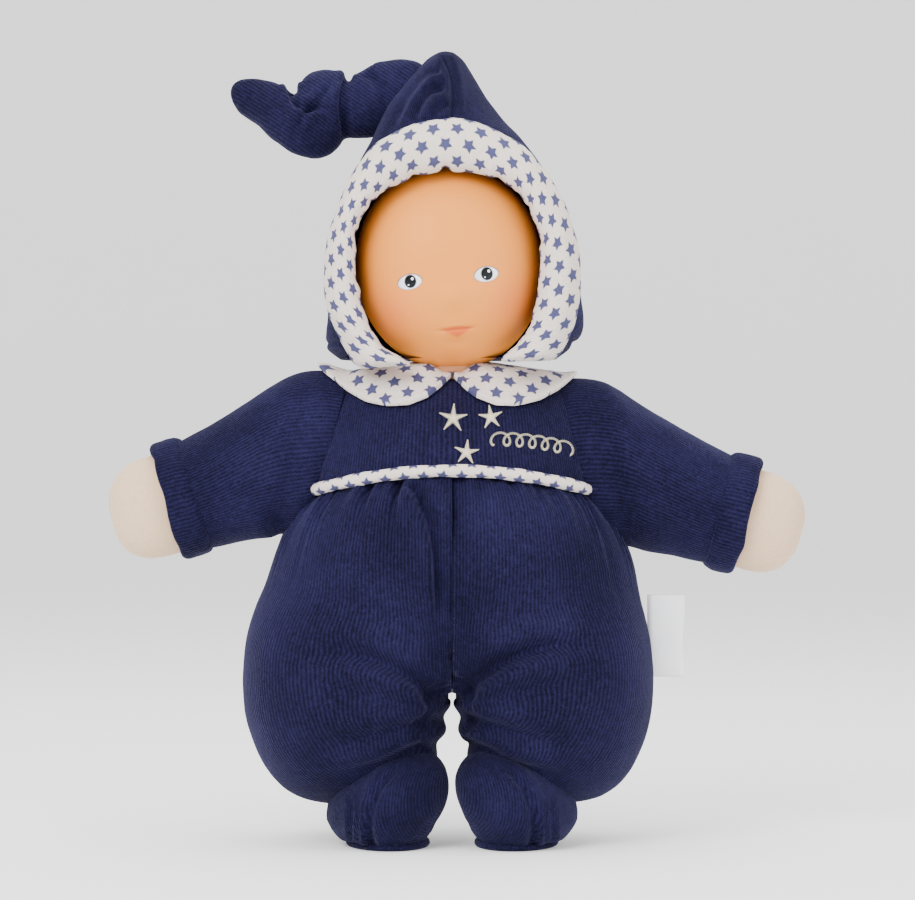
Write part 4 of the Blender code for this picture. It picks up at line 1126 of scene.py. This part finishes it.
def make_head_back():
    """The cloth back of the head, closed inside the hood, with its stuffing."""
    rows, cols = 60, 60
    tilt = np.linspace(0.02, math.pi - 0.02, rows)
    turn = np.linspace(-math.pi / 2 + 0.1, math.pi / 2 - 0.1, cols)
    x = (HEAD_R[0] - 0.6) * np.sin(tilt)[:, None] * np.sin(turn)
    y = (HEAD_R[1] - 0.6) * np.sin(tilt)[:, None] * np.cos(turn)
    z = ((HEAD_R[2] - 0.6) * np.cos(tilt))[:, None] + 0 * x
    place_x, place_z = head_frame(x, z)
    points = np.stack([place_x, y, place_z], -1)
    obj = surface("head_back_cloth", points, np.stack([x, z], -1), NECK_KNIT)
    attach(obj, "head")
    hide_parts("head_back", "head_stuffing")


# Folds at the hood's front: (line of (x, z), width, depth, fade at its ends)
HOOD_FOLDS = (
    (((-0.5, 250), (0.6, 262), (-0.5, 272), (-3.6, 278)), 1.1, 1.7, (0.02, 0.1)),
    (((-2, 266), (-8, 264.5), (-12, 258), (-14, 250)), 1.9, 2.4, (0.05, 0.35)),
    (((-3, 272), (-9, 271), (-14.5, 264), (-18.5, 256), (-21, 249)), 1.7, 1.8, (0.05, 0.3)),
    (((-2, 259), (-6, 256), (-8.5, 251)), 1.3, 1.2, (0.05, 0.4)),
)
TAIL_FOLDS = (
    (((-57, 268), (-55, 260.5), (-50, 258.6), (-44, 259.5)), 1.3, 2.2, (0.02, 0.2)),
    (((-56, 246), (-52, 256), (-46, 262), (-41, 270)), 1.1, 1.3, (0.2, 0.2)),
    (((-31, 272), (-25, 266), (-22, 257)), 1.6, 1.4, (0.05, 0.3)),
)


def make_hood():
    """The pointed hood, its two panels marked by seams."""
    rows, cols = 150, 220
    smooth = spline(HOOD, rows)
    a, b = ring(cols, HOOD_POWER)
    centre, half = (smooth[:, 1] + smooth[:, 2]) / 2, (smooth[:, 2] - smooth[:, 1]) / 2
    points = np.empty((rows, cols, 3))
    points[..., 0] = centre[:, None] + half[:, None] * a
    points[..., 1] = smooth[:, 4:5] + smooth[:, 3:4] * b
    points[..., 2] = smooth[:, :1]
    uv = grid_uv(np.linspace(0, 250, cols + 1), lengths(points[:, cols // 4]))
    obj = surface("hood", points, uv, NAVY, around=True, caps=True)

    def shape(p, n):
        ahead = front(n, 0.05)
        amount = 0.6 * rumple(p, 24, 4.4) + 0.14 * rumple(p, 7, 6.6)
        for line, width, depth, fade in HOOD_FOLDS:
            amount += crease(p, line, width, depth, fade=fade) * ahead
        behind = np.clip((n[:, 1] - 0.1) / 0.3, 0, 1)
        seam = ((0.5, 174), (0.6, 200), (0.5, 235), (0, 255), (-3, 270))
        amount += crease(p, seam, 1.0, 1.1, fade=(0.02, 0.05)) * behind
        for sign in (1, -1):
            tuck = ((sign * 20, 176), (sign * 24, 188), (sign * 26, 200))
            amount += crease(p, tuck, 3.0, 2.0, fade=(0.05, 0.5)) * behind
        hem = np.exp(-(((p[:, 2] - 176.5) / 1.1) ** 2))
        return amount - 0.9 * hem

    push(obj, shape)
    open_hood(obj)
    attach(obj, "head")
    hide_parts("hood_left", "hood_right")


def open_hood(obj):
    """Clears the hood's front where the face looks out."""
    with opened(obj) as bm:
        gone = []
        for face in bm.faces:
            at = face.calc_center_median() / MM
            reach = ((at.x - 0.3) / 37.5) ** 2 + ((at.z - 206) / 39) ** 2
            if (at.y < -16 and reach < 1) or (at.y < 2 and at.z < 192 and abs(at.x) < 37):
                gone.append(face)
        bmesh.ops.delete(bm, geom=gone, context="FACES")
    obj.data.shade_smooth()


def path_tube(name, rows, count, finish, sections=40):
    """A tube along rows of (x, y, z, half height, half depth)."""
    smooth = spline(rows, count)
    centres = smooth[:, :3]
    along = np.gradient(centres, axis=0)
    along /= np.linalg.norm(along, axis=1)[:, None]
    side = np.cross(along, np.array([0, 0, 1.0]))
    side /= np.linalg.norm(side, axis=1)[:, None]
    up = np.cross(side, along)
    return tube(name, centres, up, side, smooth[:, 3], smooth[:, 4], finish, count=sections)


def make_tail():
    """The hood's tail with its knot, merged from two tubes and a loop."""
    neck = path_tube("tail_a", TAIL_NECK, 40, NAVY)
    end = path_tube("tail_b", TAIL_END, 60, NAVY)
    turn = 2 * math.pi * np.arange(61) / 60
    rows = []
    for angle in turn:
        x, y, z = KNOT_AT
        c, s = math.cos(angle), math.sin(angle)
        rows.append((x + 1.8 * c, y + KNOT_RING * s, z + KNOT_RING * c))
    rows = np.array(rows)
    out = np.stack([np.zeros(61), np.sin(turn), np.cos(turn)], 1)
    wide = np.tile(np.array([1.0, 0, 0]), (61, 1))
    swell = 1 + 0.10 * np.cos(turn * 2)
    thick, broad = KNOT_TUBE * swell * 0.95, KNOT_TUBE * 1.25 * swell
    loop = tube("tail_c", rows, out, wide, thick, broad, NAVY, count=36, caps=False)
    obj = remesh(join("hood_knot_tail", [neck, end, loop], NAVY), 1.25)
    subdivide(obj, 1)
    dress(obj, NAVY)

    def shape(p, n):
        amount = 0.45 * rumple(p, 9, 2.5) + 0.15 * rumple(p, 3.5, 6.1)
        ahead = front(n, 0.0)
        for line, width, depth, fade in TAIL_FOLDS:
            amount += crease(p, line, width, depth, fade=fade) * ahead
        neck_line = ((-36.5, 272), (-38.5, 262), (-37.5, 250))
        amount += crease(p, neck_line, 1.3, 2.2, fade=(0.02, 0.05))
        return amount

    push(obj, shape)
    points = coords(obj)
    cloth_uv(obj, points[:, 2] * 0.8 + points[:, 0] * 0.55, points[:, 0])
    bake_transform(obj)
    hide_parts("hood_tail")


# Places along the brim where its inner edge is pulled in, and how far
BRIM_NOTCHES = (
    (0.502, 1.8), (0.44, 0.9), (0.60, 0.9), (0.335, 1.4), (0.69, 1.3), (0.26, 0.7), (0.76, 0.8)
)


def make_brim():
    """The padded brim round the face."""
    rows, cols = 260, 64
    smooth = spline(BRIM, rows)
    inner, outer = smooth[:, :2], smooth[:, 2:]
    middle, half = (inner + outer) / 2, (outer - inner) / 2
    along = lengths(middle)
    share = along / along[-1]
    a, b = ring(cols, 2.15, start=0.0)
    a, b = -a, b
    wave = np.array([noise.noise(Vector((s / 7.0, 3.3, 0))) for s in along])
    fine = np.array([noise.noise(Vector((s / 3.2, 9.1, 0))) for s in along])
    notch = np.zeros(rows)
    for place, deep in BRIM_NOTCHES:
        notch += deep * np.exp(-(((share - place) * along[-1] / 1.9) ** 2))
    points = np.empty((rows, cols, 3))
    ends = np.sqrt(1 - (1 - np.clip(np.minimum(share, 1 - share) / 0.016, 0.02, 1)) ** 2)
    inward = np.clip(a, 0, 1)
    pull = inward[None] ** 2 * (1.1 * wave + 0.5 * fine - notch)[:, None]
    unit = half / np.linalg.norm(half, axis=1)[:, None]
    width = (0.72 + 0.28 * ends)[:, None, None]
    flat = -a[None, :, None] * half[:, None] * width - pull[..., None] * unit[:, None]
    depth = BRIM_THICK * ends[:, None] * (1 + 0.10 * wave[:, None])
    points[..., 0] = middle[:, :1] + flat[..., 0]
    points[..., 2] = middle[:, 1:] + flat[..., 1]
    back = 4.2 * np.clip(-a, 0, 1) ** 2 - 0.8 * inward
    points[..., 1] = BRIM_Y + back[None] - depth * b[None]
    section = np.stack([a * 9, b * BRIM_THICK], 1)
    run = lengths(np.concatenate([section, section[:1]]))
    uv = grid_uv(run + 1.2, along)[..., ::-1]
    obj = surface("brim", points, uv, STARRED, around=True, caps=True)
    push(obj, lambda p, n: 0.35 * rumple(p, 9, 1.2) + 0.16 * rumple(p, 2.6, 5.2))
    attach(obj, "head")
    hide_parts("hood_brim")


def make_neck():
    """The short cloth neck, seen under the chin."""
    outline = ((0.5, 180), (8, 179), (11.4, 174), (12, 168), (11.2, 161), (10.4, 155), (10, 148), (0.5, 147))
    profile = spline(outline, 50)
    turn = 2 * math.pi * np.arange(72) / 72
    points = np.empty((50, 72, 3))
    points[..., 0] = profile[:, :1] * np.cos(turn)
    points[..., 1] = profile[:, :1] * np.sin(turn) + 2
    points[..., 2] = profile[:, 1:]
    uv = grid_uv(np.linspace(0, 70, 73), lengths(profile))
    obj = surface("neck_cloth", points, uv, NECK_KNIT, around=True, caps=True)
    push(obj, lambda p, n: 0.25 * rumple(p, 6, 2.0))
    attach(obj, "neck")
    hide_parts("neck")


# ---------------------------------------------------------------- collar, piping, embroidery


def tree_of(objects):
    """A search tree over several meshes, for laying pieces on them."""
    bm = bmesh.new()
    for obj in objects:
        bm.from_mesh(obj.data)
    found = BVHTree.FromBMesh(bm)
    bm.free()
    return found


COLLAR_FROM = (0, 2, 128)
COLLAR_EDGE = (
    (0, 70.5), (8, 61), (18, 49), (30, 40.5), (42, 37.5), (56, 37), (70, 38.5), (82, 40), (95, 41), (115, 42),
    (140, 43), (160, 46), (172, 52), (180, 62),
)


def make_collar(side, under):
    """One flat lobe that lies on the shoulder; s goes from the neck out, t round it."""
    sign = SIDES[side]
    rows, cols = 44, 130
    t = np.linspace(0.6, 179.4, cols)
    edge = np.interp(t, *np.array(COLLAR_EDGE, float).T)
    s = np.linspace(0, 1, rows)[:, None]
    rise = np.radians(COLLAR_RISE + (edge - COLLAR_RISE) * s)
    turn = np.radians(t)[None] + 0 * s
    aim = np.stack([sign * np.sin(turn) * np.cos(rise), -np.cos(turn) * np.cos(rise), np.sin(rise)], -1)
    start = Vector(metres(*COLLAR_FROM))
    base = np.empty((rows, cols, 3))
    for i in range(rows):
        for j in range(cols):
            way = Vector(aim[i, j])
            at, far = start, None
            for _ in range(4):
                hit = under.ray_cast(at, way, 0.09)
                if hit[0] is None:
                    break
                far = hit[0]
                at = far + way * 0.0004
            base[i, j] = far if far else start + way * 0.04
    base /= MM
    centre, ways = np.array(COLLAR_FROM), aim[1:-1, 1:-1]
    for _ in range(6):
        own = base[1:-1, 1:-1]
        mean = (own + base[2:, 1:-1] + base[:-2, 1:-1] + base[1:-1, 2:] + base[1:-1, :-2]) / 5
        lifted = np.maximum(((mean - centre) * ways).sum(-1), ((own - centre) * ways).sum(-1))
        base[1:-1, 1:-1] = centre + ways * lifted[..., None]
    wide = np.linalg.norm(base[-1] - base[0], axis=1)
    from_end = np.minimum(np.radians(t), np.radians(180 - t)) * 30
    from_edge = np.minimum(np.minimum(s * wide, (1 - s) * wide), from_end)
    roll = np.sqrt(np.clip(1 - (1 - np.clip(from_edge / 1.5, 0, 1)) ** 2, 0, 1))
    curl = 0.9 * np.exp(-((1 - s) * wide / 4))
    shoulder = np.exp(-(((t - 86) / 22) ** 2))[None]
    curl = curl + 1.3 * shoulder * np.clip((s - 0.35) / 0.65, 0, 1) ** 1.5
    stand = COLLAR_STAND * np.clip((1 - s / 0.85), 0, 1) ** 0.7
    stand = stand * np.clip((t - 14) / 22, 0, 1) * np.clip((126 - t) / 30, 0, 1)
    top = base + aim * (0.5 + curl + 2.0 * roll + stand)[..., None]
    low = base + aim * (0.35 + curl + 0.6 * stand)[..., None]
    sheet = np.concatenate([top, low[::-1]], 0)
    flat_r = 13 + s * wide
    uv_top = np.stack([flat_r * np.sin(turn) * sign, -flat_r * np.cos(turn)], -1)
    uv = np.concatenate([uv_top, uv_top[::-1]], 0)
    obj = surface(f"collar_lobe_{side}", sheet, uv, STARRED, caps=True)
    with opened(obj) as bm:
        bmesh.ops.recalc_face_normals(bm, faces=bm.faces[:])
    push(obj, lambda p, n: 0.18 * rumple(p, 8, 3.7) + 0.1 * rumple(p, 2.4, 8.8))
    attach(obj, "torso")
    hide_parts(f"collar_{side}")


def make_piping(name, sign, under, node):
    """A soft cord of printed cloth along the waist seam, from armhole to armhole."""
    count = 150
    xs = 52 * np.sin(np.linspace(-math.pi / 2, math.pi / 2, count))
    centres = []
    for x in xs:
        z = float(waist(np.array(x)))
        hit = under.ray_cast(Vector(metres(x, sign * 90, z)), Vector((0, -sign, 0)))
        y = hit[0].y / MM if hit[0] else 0
        centres.append((x, y, z))
    centres = np.array(centres)
    kernel = np.ones(9) / 9
    longer = np.pad(centres[:, 1], 4, mode="edge")
    centres[:, 1] = np.convolve(longer, kernel, "valid") + sign * 0.7
    centres[:, 1] -= sign * 5 * np.clip((abs(xs) - 48.6) / 3, 0, 1) ** 1.5
    along = np.gradient(centres, axis=0)
    along /= np.linalg.norm(along, axis=1)[:, None]
    up = np.tile(np.array([0, 0, 1.0]), (count, 1))
    side = np.cross(along, up)
    side /= np.linalg.norm(side, axis=1)[:, None]
    size = 2.15 + 0.12 * np.sin(lengths(centres) / 3)
    obj = tube(name, centres, np.cross(side, along), side, size, size * 0.95, PIPED, count=28)
    uv_swap(obj)
    push(obj, lambda p, n: 0.12 * rumple(p, 2.2, 7.0))
    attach(obj, "torso")
    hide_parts(node)


def uv_swap(obj):
    """Turns the UVs a quarter, so that the print runs along the cord."""
    layer = obj.data.uv_layers[0]
    flat = np.empty(len(layer.data) * 2, np.float32)
    layer.data.foreach_get("uv", flat)
    layer.data.foreach_set("uv", flat.reshape(-1, 2)[:, ::-1].ravel().copy())


def stitches(name, pairs, under, thick, nodes):
    """Short raised stitches between pairs of (x, z) points, laid on the cloth."""
    curve = bpy.data.curves.new(name, "CURVE")
    curve.dimensions = "3D"
    curve.bevel_depth = thick * MM
    curve.bevel_resolution = 2
    curve.use_fill_caps = True
    for start, end in pairs:
        spline_made = curve.splines.new("POLY")
        spline_made.points.add(4)
        for k in range(5):
            share = k / 4
            x = start[0] + (end[0] - start[0]) * share
            z = start[1] + (end[1] - start[1]) * share
            hit = under.ray_cast(Vector(metres(x, -90, z)), Vector((0, 1, 0)))
            proud = 0.15 + 0.55 * math.sin(math.pi * share)
            spline_made.points[k].co = (x * MM, hit[0].y - proud * MM, z * MM, 1)
    obj = bpy.data.objects.new(name, curve)
    link(obj, THREAD)
    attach(obj, "torso")
    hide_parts(nodes)


STARS = ((0.4, 149.6, 4.9), (13.4, 150, 4.1), (5.0, 137.8, 4.2))


def make_embroidery(under):
    """Three stars in satin stitch, and a generic line of loops."""
    for number, (x, z, radius) in enumerate(STARS, 1):
        pairs = []
        for arm in range(5):
            turn = 2 * math.pi * arm / 5 + (0.06, -0.12, 0.1)[number - 1]
            out = (math.sin(turn), math.cos(turn))
            across = (out[1], -out[0])
            steps = 16
            for k in range(steps):
                share = (k + 0.5) / steps
                half = radius * 0.23 * (1 - share) + 0.05
                slip = 0.22 if k % 2 else -0.22
                mid = (x + out[0] * radius * share, z + out[1] * radius * share)
                reach = [across[c] * half - out[c] * slip for c in (0, 1)]
                start = (mid[0] - reach[0], mid[1] - reach[1])
                end = (mid[0] + reach[0], mid[1] + reach[1])
                pairs.append((start, end))
            pairs.append(((x, z), (x + out[0] * radius * 1.02, z + out[1] * radius * 1.02)))
        stitches(f"stitched_star_{number}", pairs, under, 0.14, f"embroidered_star_{number}")
    pairs = []
    share = np.linspace(0, 1, 150)
    loop = 2 * math.pi * 6 * share
    path_x = 14.5 + 26.5 * share - 2.1 * np.sin(loop)
    path_z = 142.4 - 2.2 * np.cos(loop) - 3.4 * share**2
    for k in range(149):
        out = np.array([path_z[k] - path_z[k + 1], path_x[k + 1] - path_x[k]])
        out *= 0.34 / max(float(np.linalg.norm(out)), 0.01)
        start = (path_x[k] - out[0], path_z[k] - out[1])
        pairs.append((start, (path_x[k + 1] + out[0], path_z[k + 1] + out[1])))
    stitches("stitched_edging", pairs, under, 0.12, "stitched_scallops")


# ---------------------------------------------------------------- back closure and module


def back_sheet(name, half_width, low, high, lift, thick, finish, body, node, rows=40, cols=60):
    """A patch that follows the back, thick all through, with rounded corners."""
    points = np.empty((rows, cols, 3))
    for i, share in enumerate(np.linspace(0, 1, rows)):
        for j, way in enumerate(np.linspace(-1, 1, cols)):
            corner = 1 - 0.05 * (abs(2 * share - 1) ** 8)
            x = way * half_width * corner
            z = low + (high - low) * share
            half_w, half_d = (float(v) for v in torso_half(z))
            y = half_d * (1 - min(1, abs(x) / half_w) ** TORSO_POWER) ** (1 / TORSO_POWER)
            points[i, j] = (x, y + lift, z)
    uv = grid_uv(lengths(points[rows // 2]), lengths(points[:, cols // 2]))
    obj = surface(name, points, uv, finish)
    grown = obj.modifiers.new("thick", "SOLIDIFY")
    grown.thickness = thick * MM
    grown.offset = -1
    edge = obj.modifiers.new("edge", "BEVEL")
    edge.width = min(0.3, thick * 0.35) * MM
    edge.segments = 2
    edge.angle_limit = math.radians(60)
    edge.limit_method = "ANGLE"
    baked(obj)
    push(obj, lambda p, n: 0.12 * rumple(p, 6, 3.0))
    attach(obj, body)
    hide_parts(node)
    return obj


def make_closure():
    """The loop strip on the back, and the flap over it with its hook strip."""
    back_sheet("loop_tape", 24, 92.4, 97, 0.9, 0.8, TAPE, "torso", "loop_strip", 8, 40)
    tape = back_sheet("hook_tape", 24, 92.4, 97, 2.0, 0.7, TAPE, "flap", "hook_strip", 8, 40)
    flap = back_sheet("flap_cloth", 26, 91, 126, 3.5, 1.2, NAVY, "flap", "back_flap")


def make_pouch():
    """A knit bag round the module, gathered at its mouth."""
    outline = ((0.5, 5.4), (12, 5.3), (21.5, 5.8), (23.3, 8.5), (23.4, 16), (23.3, 25), (23.1, 30), (23.2, 31.4))
    profile = spline(outline, 44)
    turn = 2 * math.pi * np.arange(120) / 120
    points = np.empty((44, 120, 3))
    ruffle = 1 + 0.012 * np.sin(turn * 22)[None] * np.clip((profile[:, 1:] - 24) / 6, 0, 1)
    points[..., 0] = profile[:, :1] * np.cos(turn) * ruffle
    points[..., 1] = profile[:, 1:]
    points[..., 2] = profile[:, :1] * np.sin(turn) * ruffle + 114
    uv = grid_uv(np.linspace(0, 146, 121), lengths(profile))
    obj = surface("module_bag", points, uv, POUCH_KNIT, around=True)
    grown = obj.modifiers.new("thick", "SOLIDIFY")
    grown.thickness = 0.7 * MM
    grown.offset = 0
    baked(obj)
    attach(obj, "torso")
    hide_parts("module_pouch")


def finish_module():
    """Better finishes for the CAD nodes that stay."""
    shell = moulded("case_shell", (0.66, 0.66, 0.63), (0.84, 0.84, 0.81))
    green = moulded("solder_mask", (0.012, 0.13, 0.05), (0.03, 0.25, 0.11), 0.35)
    metal = moulded("brushed_steel", (0.42, 0.42, 0.44), (0.68, 0.68, 0.7), 0.24, 1.0, 2600)
    cone = moulded("paper_cone", (0.03, 0.03, 0.033), (0.075, 0.075, 0.08), 0.7)
    red = moulded("red_insulation", (0.42, 0.015, 0.015), (0.64, 0.04, 0.03), 0.4)
    black = moulded("black_insulation", (0.012, 0.012, 0.012), (0.03, 0.03, 0.03), 0.4)
    looks = {
        "module_case": shell, "battery_door": shell, "push_plate": shell, "circuit_board": green,
        "speaker_lead_1": red, "speaker_lead_2": black, "speaker": cone,
        "button_cell": metal, "door_screw": metal, "plate_spring": metal,
    }
    for name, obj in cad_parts.items():
        for start, look in looks.items():
            if name.startswith(start) and not (start == "speaker" and "lead" in name):
                for place in obj.material_slots:
                    place.material = look


# ---------------------------------------------------------------- studio


def make_studio():
    """A bowl of pale paper in metres, four soft lights and a white world."""
    outline = ((0.0, 0), (1.5, 0), (3.0, 0), (3.7, 0.05), (4.3, 0.35), (4.6, 1.0), (4.7, 2.0), (4.7, 3.4))
    profile = spline(outline, 60)
    turn = 2 * math.pi * np.arange(64) / 64
    points = np.empty((60, 64, 3))
    points[..., 0] = profile[:, :1] * np.cos(turn)
    points[..., 1] = profile[:, :1] * np.sin(turn)
    points[..., 2] = np.maximum(profile[:, 1:], 0)
    g = Graph("sweep_paper")
    paper = g.finish(g.mix(g.noise(6), (0.91, 0.91, 0.91), (0.94, 0.94, 0.94)), 0.9, specular=0.1)
    g.shader.inputs["Emission Color"].default_value = (1, 1, 1, 1)
    g.shader.inputs["Emission Strength"].default_value = 0.2
    sweep = surface("sweep", points / MM, np.zeros((60, 65, 2)), paper, around=True)
    lights = (
        ("key", (-0.75, -1.25, 1.15), 0.9, 36.0),
        ("fill", (1.05, -1.15, 0.65), 0.9, 11.0),
        ("top", (0.1, -0.1, 1.5), 1.1, 14.0),
        ("back", (0, 0.45, 1.0), 0.8, 3.0),
    )
    for name, at, size, power in lights:
        lamp = bpy.data.lights.new(name, "AREA")
        lamp.size = size
        lamp.energy = power
        obj = bpy.data.objects.new(name, lamp)
        obj.location = at
        obj.rotation_euler = (Vector((0, 0, 0.14)) - Vector(at)).to_track_quat("-Z", "Y").to_euler()
        SCENE.collection.objects.link(obj)
    world = bpy.data.worlds.new("studio")
    world.use_nodes = True
    world.node_tree.nodes["Background"].inputs[0].default_value = (1, 1, 1, 1)
    world.node_tree.nodes["Background"].inputs[1].default_value = 1.25
    SCENE.world = world


def make_camera():
    """Level and from the front, as the photo was taken."""
    data = bpy.data.cameras.new("camera")
    data.lens = 135
    data.sensor_width = 36
    data.clip_end = 20
    obj = bpy.data.objects.new("camera", data)
    obj.location = (0.0019, -1.213, 0.1386)
    obj.rotation_euler = (math.radians(90), 0, 0)
    SCENE.collection.objects.link(obj)
    SCENE.camera = obj


make_camera()
make_studio()
rompers = [romper_half(side) for side in SIDES]
yoke = make_yoke()
sleeves = [make_sleeve(side) for side in SIDES]
chest = tree_of([yoke])
trunk = tree_of([yoke] + rompers)
shoulders = tree_of([yoke] + sleeves)
for side_name in SIDES:
    make_collar(side_name, shoulders)
    make_foot(side_name)
make_piping("front_piping", -1, trunk, "waist_piping_front")
make_piping("back_piping", 1, trunk, "waist_piping_back")
make_embroidery(chest)
make_label()
make_face()
make_head_back()
make_hood()
make_tail()
make_brim()
make_neck()
make_pouch()
make_closure()
finish_module()
